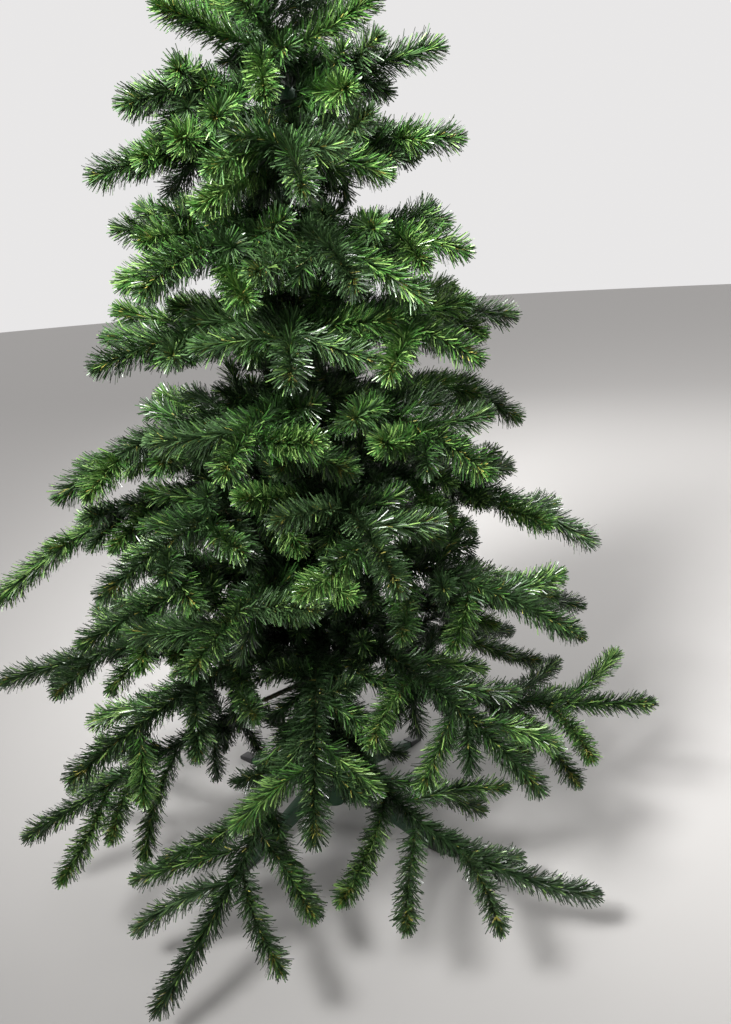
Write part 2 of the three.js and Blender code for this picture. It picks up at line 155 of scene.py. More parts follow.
TIERS = (
    Tier(250, 188, (46, 70), (
        Row(206, 540, -120, -8, 5, -4), Row(252, 566, -201, -8, 7, -10),
        Row(280, 552, -176, -8, 6, 33), Row(338, 565, 15, -4, 6),
        Row(40, 560, -110, -6, 6), Row(118, 560, -130, -6, 6),
    ), root=150.0, span=(0.32, 0.64)),
    Tier(370, 155, (38, 64), (
        Row(187, 545, -30, 6, 6), Row(225, 510, -45, 6, 6),
        Row(266, 475, -105, 2, 6), Row(302, 520, -85, 6, 6),
        Row(12, 520, -70, 6, 6), Row(92, 510, -60, 6, 6),
    )),
    Tier(490, 155, (38, 62), (
        Row(212, 420, -30, 10, 5), Row(247, 440, 0, 14, 5),
        Row(318, 480, -35, 12, 5), Row(50, 470, -40, 10, 6),
        Row(130, 470, -30, 10, 6),
    )),
    Tier(620, 155, (34, 60), (
        Row(180, 545, -165, 12, 4), Row(229, 435, -45, 10, 5),
        Row(284, 430, -40, 14, 5), Row(346, 470, -115, 12, 5),
        Row(52, 440, -60, 12, 5), Row(115, 440, -60, 12, 5),
    ), span=(0.25, 0.72)),
    Tier(750, 160, (30, 54), (
        Row(196, 400, -95, 8, 4), Row(253, 365, -20, 16, 5),
        Row(310, 385, -65, 12, 5), Row(20, 385, -40, 12, 4),
        Row(95, 390, -40, 12, 5),
    ), span=(0.2, 0.68)),
    Tier(880, 160, (26, 50), (
        Row(212, 335, -25, 10, 4), Row(268, 335, -45, 16, 5),
        Row(316, 345, -45, 14, 4), Row(3, 362, -12, 8, 4),
        Row(125, 340, -10, 14, 5),
    ), span=(0.16, 0.62)),
    Tier(1000, 155, (24, 48), (
        Row(178, 262, 45, 14, 3), Row(232, 315, -45, 16, 4),
        Row(286, 305, -60, 18, 4), Row(332, 290, -25, 14, 4),
        Row(70, 300, -10, 14, 4),
    ), span=(0.14, 0.58)),
    Tier(1120, 150, (24, 48), (
        Row(192, 280, -10, 18, 4), Row(276, 255, -60, 20, 4),
        Row(342, 275, 12, 14, 4), Row(115, 270, 10, 18, 4),
    ), span=(0.12, 0.56)),
    Tier(1215, 140, (24, 48), (
        Row(208, 235, -20, 12, 4), Row(344, 250, 40, 14, 4),
        Row(65, 235, 20, 16, 4),
    ), span=(0.12, 0.54)),
)
WHORLS = (
    Whorl(1290, 3, 262, 150, -42), Whorl(1272, 3, 212, 195, 16),
    Whorl(1320, 3, 272, 178, 24), Whorl(1380, 3, 222, 165, 32),
    Whorl(1450, 3, 282, 145, 38), Whorl(1525, 3, 222, 125, 44), Whorl(1600, 3, 282, 100, 50),
    Whorl(1680, 2, 250, 80, 56),
)


@dataclass(frozen=True)
class SideRule:
    """How side tips stand along a branch, with the source's values."""

    jitter: float = 0.02
    longest: float = 1.25
    shorten: float = 0.4
    least: float = 0.85
    most: float = 1.1
    tilt: float = 20.0
    skirt_front: Pair = (14.0, 26.0)
    crown_front: Pair = (30.0, 10.0)
    back_droop: float = 10.0
    bough_droop: float = 12.0
    tries: int = 5
    shortest: float = 75.0
    trim: float = 8.0
    outside: float = 12.0
    inside: float = -25.0
    lowest: float = 36.0
    clearance: float = 22.0
    start: float = 24.0


@dataclass(frozen=True)
class FineRule:
    """How one set of finer twigs stands between the side tips."""

    span: Pair
    count: int
    splay: Pair
    tilt: Pair
    length: Pair
    seed: int
    levels: tuple[int, int] = (1, 4)
    droop: float = 1.0
    edge: float = -20.0
    clearance: float = 7.0
    start: float = 16.0


@dataclass
class Spray:
    """One brush of needles on its wire, in millimetres."""

    mass: str
    level: int
    kind: SprayKind
    path: list[Vector]
    bare: float
    mark: float


@dataclass
class Branch:
    """One branch, with its stem and the side tips that have grown on it."""

    name: str
    seed: int
    level: int
    tier: Tier
    row: Row
    root: float
    sides: list[Tip] = field(default_factory=list)
    fine: list[Tip] = field(default_factory=list)

    def point(self, u: float) -> Vector:
        """A point of the stem.

        Args:
            u: place along the stem, from 0 at its root to 1 at its tip.

        Returns:
            The point, in millimetres.
        """
        row = self.row
        middle = (self.root + row.reach) / 2
        middle_height = self.tier.height + (middle - self.root) * math.tan(math.radians(row.lift))
        radius = (1 - u) ** 2 * self.root + 2 * u * (1 - u) * middle + u * u * row.reach
        height = ((1 - u) ** 2 * self.tier.height + 2 * u * (1 - u) * middle_height
                  + u * u * (self.tier.height + row.rise))
        angle = math.radians(row.azimuth + row.swing * u * u)
        return Vector((radius * math.cos(angle), radius * math.sin(angle), height))

    def roots(self, random: Seeded, span: Pair, count: int,
              jitter: float) -> Iterator[tuple[int, float, Vector, Vector]]:
        """Where twigs leave the stem.

        Args:
            random: the row of numbers that moves each a little.
            span: the places of the first and the last.
            count: how many there are.
            jitter: how far each may move.

        Yields:
            Its number, its place along the stem, its start and the stem's direction there.
        """
        step = (span[1] - span[0]) / (count - 1)
        for k in range(count):
            u = span[0] + step * k + random.between(-jitter, jitter)
            start = self.point(u)
            yield k, u, start, (self.point(u + jitter) - start).normalized()


def side_direction(along: Vector, splay: float, tilt: float) -> Vector:
    """Direction of a twig that leaves its stem.

    Args:
        along: the stem's direction.
        splay: turn in plan, in radians.
        tilt: turn out of the spray's plane, in radians.

    Returns:
        A unit vector.
    """
    flat = math.hypot(along.x, along.y)
    slope = math.atan2(along.z, flat) * math.cos(splay) + tilt
    x = (along.x * math.cos(splay) - along.y * math.sin(splay)) / flat
    y = (along.x * math.sin(splay) + along.y * math.cos(splay)) / flat
    return Vector((x * math.cos(slope), y * math.cos(slope), math.sin(slope)))


def clamp(value: float, low: float = 0.0, high: float = 1.0) -> float:
    """The value, brought between two limits."""
    return max(low, min(high, value))


def stretch_distance(start_a: Vector, end_a: Vector, start_b: Vector, end_b: Vector) -> float:
    """Shortest distance between two straight stretches.

    Args:
        start_a: one end of the first.
        end_a: its other end.
        start_b: one end of the second.
        end_b: its other end.

    Returns:
        The distance, in the points' unit.
    """
    a = end_a - start_a
    b = end_b - start_b
    between = start_a - start_b
    aa, bb, ab = a.dot(a), b.dot(b), a.dot(b)
    ac, bc = a.dot(between), b.dot(between)
    spread = aa * bb - ab * ab
    s = clamp((ab * bc - ac * bb) / spread) if spread > TINY else 0.0
    t = (ab * s + bc) / bb
    if t < 0:
        t = 0.0
        s = clamp(-ac / aa)
    elif t > 1:
        t = 1.0
        s = clamp((ab - ac) / aa)
    return (start_a + a * s - start_b - b * t).length


@dataclass
class CrownPlan:
    """The crown's branches and twigs, by the seeded rule of the solids."""

    gap: float = 0.3
    cone_foot: float = 640.0
    cone_slope: float = 0.355
    leader_foot: float = 1262.0
    top: float = 1800.0
    stem_segment: float = 84.0
    fewest_steps: int = 4
    fine_share: float = 0.62
    side: SideRule = SideRule()
    fine: tuple[FineRule, ...] = (
        FineRule((0.02, 0.18), 4, (40.0, 120.0), (10.0, 50.0), (0.50, 0.75), seed=500,
                 levels=(0, 0), droop=0.0),
        FineRule((0.0, 0.18), 6, (30.0, 90.0), (34.0, 70.0), (0.50, 0.66), seed=500,
                 levels=(1, 8), droop=0.2, clearance=4.0),
        FineRule((0.18, 0.50), 5, (26.0, 60.0), (-26.0, 26.0), (0.62, 0.88), seed=600),
        FineRule((0.52, 0.70), 2, (24.0, 44.0), (-16.0, 16.0), (0.62, 0.80), seed=700),
        FineRule((0.10, 0.50), 4, (16.0, 50.0), (-30.0, 30.0), (0.60, 0.85), seed=800,
                 levels=(5, 8)),
        FineRule((0.10, 0.48), 4, (14.0, 56.0), (24.0, 62.0), (0.60, 0.90), seed=950,
                 levels=(1, 3), clearance=5.0),
        FineRule((0.04, 0.36), 3, (20.0, 70.0), (30.0, 66.0), (0.55, 0.80), seed=1000,
                 levels=(0, 1), clearance=4.0),
    )
    branches: list[Branch] = field(default_factory=list)
    leader: list[Tip] = field(default_factory=list)
    leader_fine: list[Tip] = field(default_factory=list)
    taken: list[tuple[str, Vector, Vector]] = field(default_factory=list)

    def grow(self) -> None:
        """Plans the stems, then the leader, the side tips and the finer twigs."""
        for level, tier in enumerate(TIERS):
            for place, row in enumerate(tier.rows):
                self.branches.append(Branch(
                    name=f"foliage_tier{level + 1}_{place + 1}", seed=len(self.branches) + 1,
                    level=level, tier=tier, row=row, root=tier.root + self.gap))
        self.grow_leader()
        self.take_stems()
        for branch in self.branches:
            self.grow_sides(branch)
        for rule in self.fine:
            for branch in self.branches:
                if rule.levels[0] <= branch.level <= rule.levels[1]:
                    self.grow_fine(branch, rule)

    def grow_leader(self) -> None:
        """Stands the leader's tips in whorls, with finer ones halfway between."""
        for whorl in WHORLS:
            self.leader += self.whorl_tips(whorl)
        for whorl, above in zip(WHORLS, WHORLS[1:]):
            between = Whorl((whorl.height + above.height) / 2, whorl.count,
                            whorl.azimuth + 90 / whorl.count, whorl.length * self.fine_share,
                            (whorl.slope + above.slope) / 2)
            self.leader_fine += self.whorl_tips(between)

    @staticmethod
    def whorl_tips(whorl: Whorl) -> list[Tip]:
        """The straight tips of one whorl.

        Args:
            whorl: the whorl's height, count, first azimuth, length and slope.

        Returns:
            A start and an end for each tip, in millimetres.
        """
        tips = []
        for k in range(whorl.count):
            angle = math.radians(whorl.azimuth + 360 / whorl.count * k)
            flat = whorl.length * math.cos(math.radians(whorl.slope))
            rise = whorl.length * math.sin(math.radians(whorl.slope))
            end = Vector((flat * math.cos(angle), flat * math.sin(angle), whorl.height + rise))
            tips.append((Vector((0, 0, whorl.height)), end))
        return tips

    def take_stems(self) -> None:
        """Notes the room that the stems and the leader's tips take."""
        for branch in self.branches:
            steps = max(self.fewest_steps,
                        round((branch.row.reach - branch.root) / self.stem_segment))
            points = [branch.point(k / steps) for k in range(steps + 1)]
            for start, end in zip(points, points[1:]):
                self.taken.append((branch.name, start, end))
        for start, end in self.leader:
            self.taken.append((LEADER, start, end))

    def inside(self, p: Vector, edge: float) -> bool:
        """True where a twig's end is within the cone, let out or drawn in by an edge."""
        room = self.cone_foot - self.cone_slope * p.z + edge
        return math.hypot(p.x, p.y) <= room and p.z > self.side.lowest

    def tip_habit(self, branch: Branch) -> Pair:
        """How a branch's side tips stand, by the way it faces.

        Args:
            branch: the branch. The lowest ones slope by themselves and hang a little.

        Returns:
            How far the tips stand wider than their fan and how far they hang, in degrees.
        """
        front = -math.sin(math.radians(branch.row.azimuth))
        if branch.level == 0:
            return 0.0, self.side.bough_droop * max(front, 0.0)
        wider, droop = self.side.skirt_front if branch.level == 1 else self.side.crown_front
        if front < 0:
            return 0.0, -self.side.back_droop * front
        return wider * front, droop * front

    def claim(self, branch: Branch, grown: list[Tip], start: Vector, direction: Vector,
              length: float, rule: SideRule | FineRule) -> bool:
        """Adds a twig where it keeps its distance from every other branch.

        Args:
            branch: the branch that it grows on.
            grown: the list of the branch's twigs that it goes into.
            start: where it leaves the stem.
            direction: the way it points.
            length: how long it is.
            rule: the distance that it keeps, and how far from its start that begins.

        Returns:
            True if it was added.
        """
        clear = start + direction * rule.start
        end = start + direction * length
        if any(other != branch.name and stretch_distance(clear, end, a, b) <= rule.clearance
               for other, a, b in self.taken):
            return False
        grown.append((start, end))
        self.taken.append((branch.name, clear, end))
        return True

    def grow_sides(self, branch: Branch) -> None:
        """Grows a branch's side tips, with the source's own order of random draws.

        Args:
            branch: the branch, whose list of sides is filled.
        """
        rule, tier = self.side, branch.tier
        wider, droop = self.tip_habit(branch)
        random = Seeded(branch.seed)
        for k, u, start, along in branch.roots(random, tier.span, branch.row.tips, rule.jitter):
            hand = 1 if (k + branch.seed) % 2 else -1
            for _ in range(rule.tries):
                splay = math.radians(random.between(*tier.fan) + wider) * hand
                tilt = math.radians(random.between(-rule.tilt, rule.tilt) - droop)
                direction = side_direction(along, splay, tilt)
                longest = tier.tip_length * (rule.longest - rule.shorten * u)
                length = longest * random.between(rule.least, rule.most)
                edge = random.between(rule.inside, rule.outside)
                while (length > rule.shortest
                       and not self.inside(start + direction * length, edge)):
                    length -= rule.trim
                if length > rule.shortest and self.claim(
                        branch, branch.sides, start, direction, length, rule):
                    break

    def grow_fine(self, branch: Branch, rule: FineRule) -> None:
        """Grows a branch's finer twigs in the room that is left.

        Args:
            branch: the branch, whose list of fine twigs is filled.
            rule: where the set of twigs stands.
        """
        jitter = self.side.jitter
        wider, droop = self.tip_habit(branch)
        random = Seeded(branch.seed + rule.seed)
        for k, _, start, along in branch.roots(random, rule.span, rule.count, jitter):
            hand = 1 if (k + branch.seed) % 2 == 0 else -1
            upward = 1 if (k // 2 + branch.seed) % 2 == 0 else -1
            for _ in range(self.side.tries):
                splay = math.radians(random.between(*rule.splay) + wider) * hand
                tilt = random.between(*rule.tilt) * upward - droop * rule.droop
                direction = side_direction(along, splay, math.radians(tilt))
                length = branch.tier.tip_length * random.between(*rule.length)
                if self.inside(start + direction * length, rule.edge) and self.claim(
                        branch, branch.fine, start, direction, length, rule):
                    break


@dataclass
class Sprays:
    """Turns the plan into wires that bend a little, as they do when set by hand."""

    plan: CrownPlan
    stem_steps: int = 12
    tip_steps: int = 5
    past_wire: float = 24.0
    stem_past: float = 10.0
    bow: float = 0.05
    stem_bare: float = 8.0
    bough_bare: float = 6.0
    tip_bare: float = 12.0
    seed: int = 900

    def all(self) -> list[Spray]:
        """Turns the whole plan into sprays, in a fixed order.

        Returns:
            Every spray of the crown.
        """
        random = Seeded(self.seed)
        steps = self.stem_steps
        sprays = []
        for branch in self.plan.branches:
            last = 1 - self.stem_past / (branch.row.reach - branch.root)
            stem = [branch.point(last * k / steps) for k in range(steps + 1)]
            bare = self.bough_bare if branch.level == 0 else self.stem_bare
            sprays += self.of_stem(Spray(branch.name, branch.level, SprayKind.STEM, stem, bare,
                                         random.next()), branch.sides, branch.fine, random)
        foot = self.plan.leader_foot
        whole = self.plan.top - self.past_wire - foot
        leader = [Vector((0, 0, foot + whole * k / steps)) for k in range(steps + 1)]
        sprays += self.of_stem(Spray(LEADER, len(TIERS), SprayKind.STEM, leader, 0.0,
                                     random.next()), self.plan.leader, self.plan.leader_fine,
                               random)
        return sprays

    def of_stem(self, stem: Spray, sides: list[Tip], fine: list[Tip],
                random: Seeded) -> list[Spray]:
        """The sprays of one branch or of the leader.

        Args:
            stem: its stem.
            sides: its side tips.
            fine: its finer twigs.
            random: the row of numbers that bends and marks them.

        Returns:
            The stem first, then the side tips and the finer twigs.
        """
        return [stem] + [
            Spray(stem.mass, stem.level, kind, self.bent(start, end, random), self.tip_bare,
                  random.next())
            for kind, tips in ((SprayKind.TIP, sides), (SprayKind.FINE, fine))
            for start, end in tips]

    def bent(self, start: Vector, end: Vector, random: Seeded) -> list[Vector]:
        """A tip's wire, bowed a little between its two ends.

        Args:
            start: where it leaves the stem.
            end: where its furthest needles end.
            random: the row of numbers that picks the bow.

        Returns:
            The wire's points. It stops short of the end, because needles reach past it.
        """
        whole = end - start
        along = whole.normalized()
        side = along.cross(UP).normalized()
        turn = random.between(0, 2 * math.pi)
        bow = side * math.cos(turn) + along.cross(side) * math.sin(turn)
        bow = bow * whole.length * self.bow
        reach = whole.length - self.past_wire
        points = []
        for k in range(self.tip_steps + 1):
            t = k / self.tip_steps
            points.append(start + along * (reach * t) + bow * math.sin(math.pi * t))
        return points


class NodeMaker:
    """Adds nodes to a tree of nodes and links them."""

    tree: bpy.types.NodeTree
    start: bpy.types.Node | None = None

    def feed(self, socket: Socket, value: object) -> None:
        """Links a socket or sets its value.

        Args:
            socket: the input socket.
            value: an output socket, a node whose first output is meant, the name of one of the
                tree's inputs, a plain value, or None to leave the socket alone.
        """
        if isinstance(value, bpy.types.Node):
            value = value.outputs[0]
        elif self.start and isinstance(value, str) and value in self.start.outputs:
            value = self.start.outputs[value]
        if isinstance(value, Socket):
            self.tree.links.new(value, socket)
        elif value is not None:
            socket.default_value = value

    def add(self, kind: str, settings: dict[str, object] | None = None, *values: object,
            **inputs: object) -> bpy.types.Node:
        """Adds a node.

        Args:
            kind: the node's type name.
            settings: values of the node's own properties.
            *values: what its inputs are fed, in their order.
            **inputs: what its named inputs are fed, with _ for a space in a name.

        Returns:
            The node.
        """
        node = self.tree.nodes.new(kind)
        for name, value in (settings or {}).items():
            setattr(node, name, value)
        for socket, value in zip(node.inputs, values):
            self.feed(socket, value)
        for name, value in inputs.items():
            self.feed(node.inputs[name.replace("_", " ")], value)
        return node


class TreeMaker(NodeMaker):
    """Makes a Geometry Nodes tree."""

    def __init__(self, name: str) -> None:
        """Starts an empty tree with a geometry in and a geometry out.

        Args:
            name: the tree's name.
        """
        self.tree = bpy.data.node_groups.new(name, "GeometryNodeTree")
        self.identifiers: dict[str, str] = {}
        self.new_inputs("Geometry", "Geometry")
        self.tree.interface.new_socket(name="Geometry", in_out="OUTPUT",
                                       socket_type="NodeSocketGeometry")
        self.start = self.tree.nodes.new("NodeGroupInput")
        self.end = self.tree.nodes.new("NodeGroupOutput")

    def new_inputs(self, kind: str, *names: str) -> None:
        """Adds named inputs of one kind to the tree.

        Args:
            kind: what kind they are.
            *names: their names.
        """
        for name in names:
            item = self.tree.interface.new_socket(name=name, in_out="INPUT",
                                                  socket_type=f"NodeSocket{kind}")
            self.identifiers[name] = item.identifier

    def math(self, operation: str, *values: object) -> Socket:
        """The result of one step of arithmetic."""
        return self.add("ShaderNodeMath", {"operation": operation}, *values).outputs[0]

    def random(self, low: object, high: object, seed: object) -> Socket:
        """A random number for each point."""
        return self.add("FunctionNodeRandomValue", {"data_type": "FLOAT"}, None, None, low, high,
                        Seed=seed).outputs[1]

    def named(self, name: str, kind: str = "FLOAT") -> Socket:
        """An attribute that the path mesh carries."""
        return self.add("GeometryNodeInputNamedAttribute", {"data_type": kind},
                        name).outputs["Attribute"]

    def turned(self, rotation: object, axis: Triple, angle: object) -> bpy.types.Node:
        """A rotation, followed by a turn about one of its own axes."""
        turn = self.add("FunctionNodeAxisAngleToRotation", Axis=axis, Angle=angle)
        return self.add("FunctionNodeRotateRotation", {"rotation_space": "LOCAL"}, rotation, turn)

    def fall(self, room: str, least: str) -> bpy.types.Node:
        """A factor that falls from 1 towards a wire's end.

        Args:
            room: the tree's input for how much wire is left where the fall begins.
            least: its input for the factor at the wire's end.

        Returns:
            The factor's node.
        """
        return self.add("ShaderNodeMapRange", Value=self.named("left"), From_Min=0.0,
                        From_Max=room, To_Min=least, To_Max=1.0)

    def finish(self, geometry: bpy.types.Node) -> None:
        """Ends the tree in Realize Instances and Set Material.

        Args:
            geometry: the node that makes what the tree gives.
        """
        self.new_inputs("Material", "Material")
        real = self.add("GeometryNodeRealizeInstances", Geometry=geometry)
        self.feed(self.end.inputs[0],
                  self.add("GeometryNodeSetMaterial", Geometry=real, Material="Material"))

    def apply(self, piece: Piece, values: dict[str, object]) -> Piece:
        """Runs the tree on an object and keeps the result as its plain mesh.

        Args:
            piece: the object that carries the paths.
            values: the tree's inputs, by name.

        Returns:
            The same object, with its new mesh and no modifier.
        """
        modifier = piece.modifiers.new(self.tree.name, "NODES")
        modifier.node_group = self.tree
        for name, value in values.items():
            modifier[self.identifiers[name]] = value
        bpy.context.view_layer.update()
        graph = bpy.context.evaluated_depsgraph_get()
        made = bpy.data.meshes.new_from_object(piece.evaluated_get(graph),
                                               preserve_all_data_layers=True, depsgraph=graph)
        piece.modifiers.clear()
        old = piece.data
        piece.data = made
        made.name = piece.name
        bpy.data.meshes.remove(old)
        return piece


def placed(name: str, data: bpy.types.ID) -> Piece:
    """Puts a new object in the scene.

    Args:
        name: the object's name.
        data: what it carries.

    Returns:
        The object.
    """
    piece = bpy.data.objects.new(name, data)
    bpy.context.scene.collection.objects.link(piece)
    return piece


@dataclass
class Strand:
    """A stretch of wire to grow something on, in millimetres."""

    points: list[Vector]
    left: list[float]
    share: float
    size: float


def path_piece(name: str, strands: list[Strand]) -> Piece:
    """An object whose edges are the strands, with what grows there as attributes.

    Args:
        name: the piece's name.
        strands: the stretches of wire.

    Returns:
        The object, linked to the scene.
    """
    corners, edges = [], []
    along, left, share, size = [], [], [], []
    for strand in strands:
        first = len(corners)
        count = len(strand.points)
        for k, p in enumerate(strand.points):
            ahead = strand.points[min(k + 1, count - 1)] - strand.points[max(k - 1, 0)]
            corners.append(p * MM)
            along.extend(ahead.normalized())
            left.append(strand.left[k] * MM)
            share.append(strand.share)
            size.append(strand.size)
        edges += [(first + k, first + k + 1) for k in range(count - 1)]
    mesh = bpy.data.meshes.new(name)
    mesh.from_pydata(corners, edges, [])
    mesh.attributes.new("along", "FLOAT_VECTOR", "POINT").data.foreach_set("vector", along)
    for label, values in (("left", left), ("share", share), ("size", size)):
        mesh.attributes.new(label, "FLOAT", "POINT").data.foreach_set("value", values)
    return placed(name, mesh)


def cut_path(path: list[Vector], low: float, step: float, least: float = 1.0) -> Strand:
    """The part of a wire from some way along it to its end.

    Args:
        path: the wire's points.
        low: the distance from its start at which the part begins.
        step: about how long its segments are.
        least: how much of the wire is kept at least.

    Returns:
        A strand with a share and a size of 1.
    """
    marks = [0.0]
    for a, b in zip(path, path[1:]):
        marks.append(marks[-1] + (b - a).length)
    whole = marks[-1]
    low = clamp(low, 0.0, whole - least)
    count = max(1, round((whole - low) / step))
    points, left = [], []
    place = 0
    for k in range(count + 1):
        distance = low + (whole - low) * k / count
        while place < len(path) - 2 and marks[place + 1] < distance:
            place += 1
        share = (distance - marks[place]) / (marks[place + 1] - marks[place])
        points.append(path[place].lerp(path[place + 1], share))
        left.append(whole - distance)
    return Strand(points, left, 1.0, 1.0)


@dataclass(frozen=True)
class Needle:
    """The cut of one colour of needle, in millimetres, and how it stands."""

    length: float
    width: float
    lean: float
    loose: float
    taper: float = 0.25


@dataclass(frozen=True)
class Layer:
    """How many needles of one colour a kind of spray has, and where along it."""

    per_mm: float
    low: float = 0.0
    size: float = 1.0


@dataclass(frozen=True)
class Zone:
    """A band of tiers whose needles are joined into the same pieces, with its share of painted
    shade.
    """

    name: str
    levels: tuple[int, ...]
    lean: float
    size: float
    # bright scales the light-green needles; it is lower in the low and skirt zones, in part
    # painted shade towards the bottom
    bright: float
    # shade is painted shade: it trades fresh and cool needles for deep ones, most in the low zones
    shade: float


class ShaderMaker(NodeMaker):
    """Makes a material."""

    def __init__(self, name: str) -> None:
        """Starts a plain material.

        Args:
            name: the material's name.
        """
        self.material = bpy.data.materials.new(name)
        self.material.use_nodes = True
        self.tree = self.material.node_tree
        self.shader = self.tree.nodes["Principled BSDF"]

    def noise(self, scale: float, detail: float) -> Socket:
        """Noise that is fixed to the piece, from 0 to 1."""
        place = self.add("ShaderNodeTexCoord").outputs["Object"]
        return self.add("ShaderNodeTexNoise", None, place, Scale=scale, Detail=detail).outputs[0]

    def colour(self, source: Socket, dark: Triple, light: Triple,
               ends: Pair = (0.0, 1.0)) -> None:
        """Colours the material between two shades.

        Args:
            source: what picks the shade.
            dark: the shade at the low end.
            light: the shade at the high end.
            ends: the source's values at the two ends.
        """
        ramp = self.add("ShaderNodeValToRGB", Fac=source)
        for element, place, shade in zip(ramp.color_ramp.elements, ends, (dark, light)):
            element.position = place
            element.color = (*shade, 1.0)
        self.feed(self.shader.inputs["Base Color"], ramp)

    def roughness(self, source: Socket, low: float, high: float) -> None:
        """Lets the roughness change between two values."""
        gloss = self.add("ShaderNodeMapRange", Value=source, To_Min=low, To_Max=high)
        self.feed(self.shader.inputs["Roughness"], gloss)


@dataclass(frozen=True)
class NeedleFinish:
    """Cut PVC film: two near shades that change from needle to needle."""

    dark: Triple
    light: Triple
    roughness: float = 0.31
    smoother: float = 0.12
    rougher: float = 0.2
    film: float = 420.0

    def material(self, name: str) -> bpy.types.Material:
        """The finish as a node material.

        Args:
            name: the material's name.

        Returns:
            The material.
        """
        maker = ShaderMaker(name)
        shade = maker.add("ShaderNodeAttribute", {"attribute_name": "shade"})
        maker.colour(shade.outputs["Fac"], self.dark, self.light)
        maker.roughness(maker.noise(self.film, detail=2.0), self.roughness - self.smoother,
                        self.roughness + self.rougher)
        return maker.material


NEEDLES = {
    Tone.DEEP: Needle(31.0, 1.65, 0.0, 17.0),
    Tone.FRESH: Needle(31.0, 1.65, 0.0, 18.0),
    Tone.COOL: Needle(31.0, 1.65, 0.0, 18.0),
    Tone.BRIGHT: Needle(31.0, 1.65, -3.0, 18.0),
    Tone.TAN: Needle(17.0, 1.4, -14.0, 16.0),
}
LAYERS = {
    SprayKind.STEM: {
        Tone.DEEP: (Layer(2.4),), Tone.FRESH: (Layer(2.1), Layer(2.5, low=0.97, size=0.9)),
        Tone.COOL: (Layer(2.1), Layer(2.5, low=0.97, size=0.9)),
        Tone.BRIGHT: (Layer(1.0, low=0.6),),
        Tone.TAN: (Layer(0.15, low=0.3), Layer(1.8, low=0.94)),
    },
    SprayKind.TIP: {
        Tone.DEEP: (Layer(1.5),), Tone.FRESH: (Layer(3.0), Layer(3.2, low=0.9, size=0.9)),
        Tone.COOL: (Layer(3.0), Layer(3.2, low=0.9, size=0.9)),
        Tone.BRIGHT: (Layer(1.5, low=0.25),), Tone.TAN: (Layer(0.2), Layer(2.4, low=0.86)),
    },
    SprayKind.FINE: {
        Tone.DEEP: (Layer(2.0, size=0.92),), Tone.FRESH: (Layer(2.0, size=0.92),),
        Tone.COOL: (Layer(2.0, size=0.92),),
        Tone.BRIGHT: (Layer(0.4, low=0.4, size=0.92),), Tone.TAN: (Layer(0.15),),
    },
}
# Each zone's lean, size, share of light-green needles and painted shade. The low zones have fewer
# light-green needles and the most painted shade, so the tree comes out darker towards the bottom.
ZONES = (
    Zone("low", (0,), 50.0, 0.82, 0.7, 1.0),
    Zone("skirt", (1,), 49.0, 0.95, 0.75, 0.9),
    Zone("waist", (2, 3), 49.0, 1.02, 1.0, 0.4),
    Zone("middle", (4, 5), 49.0, 1.08, 0.9, 0.15),
    Zone("crown", (6, 7, 8, 9), 50.0, 1.12, 0.9, 0.15),
)
# Painted shade by kind of spray: the finer twigs and the stems, which stand inside the crown, are
# darkened most, and the outer tips least.
PAINTED_SHADE_BY_KIND = {SprayKind.STEM: 0.85, SprayKind.TIP: 0.48, SprayKind.FINE: 1.0}
FINISHES = {
    # The deep needles are a real dark green. Where painted shade raises their count, they also
    # darken the low zones and the inner sprays.
    Tone.DEEP: NeedleFinish((0.008, 0.020, 0.007), (0.021, 0.046, 0.014)),
    Tone.FRESH: NeedleFinish((0.021, 0.069, 0.013), (0.054, 0.144, 0.025)),
    Tone.COOL: NeedleFinish((0.030, 0.066, 0.023), (0.071, 0.132, 0.047)),
    Tone.BRIGHT: NeedleFinish((0.088, 0.180, 0.040), (0.200, 0.325, 0.088)),
    Tone.TAN: NeedleFinish((0.200, 0.180, 0.032), (0.380, 0.360, 0.080), roughness=0.5),
}


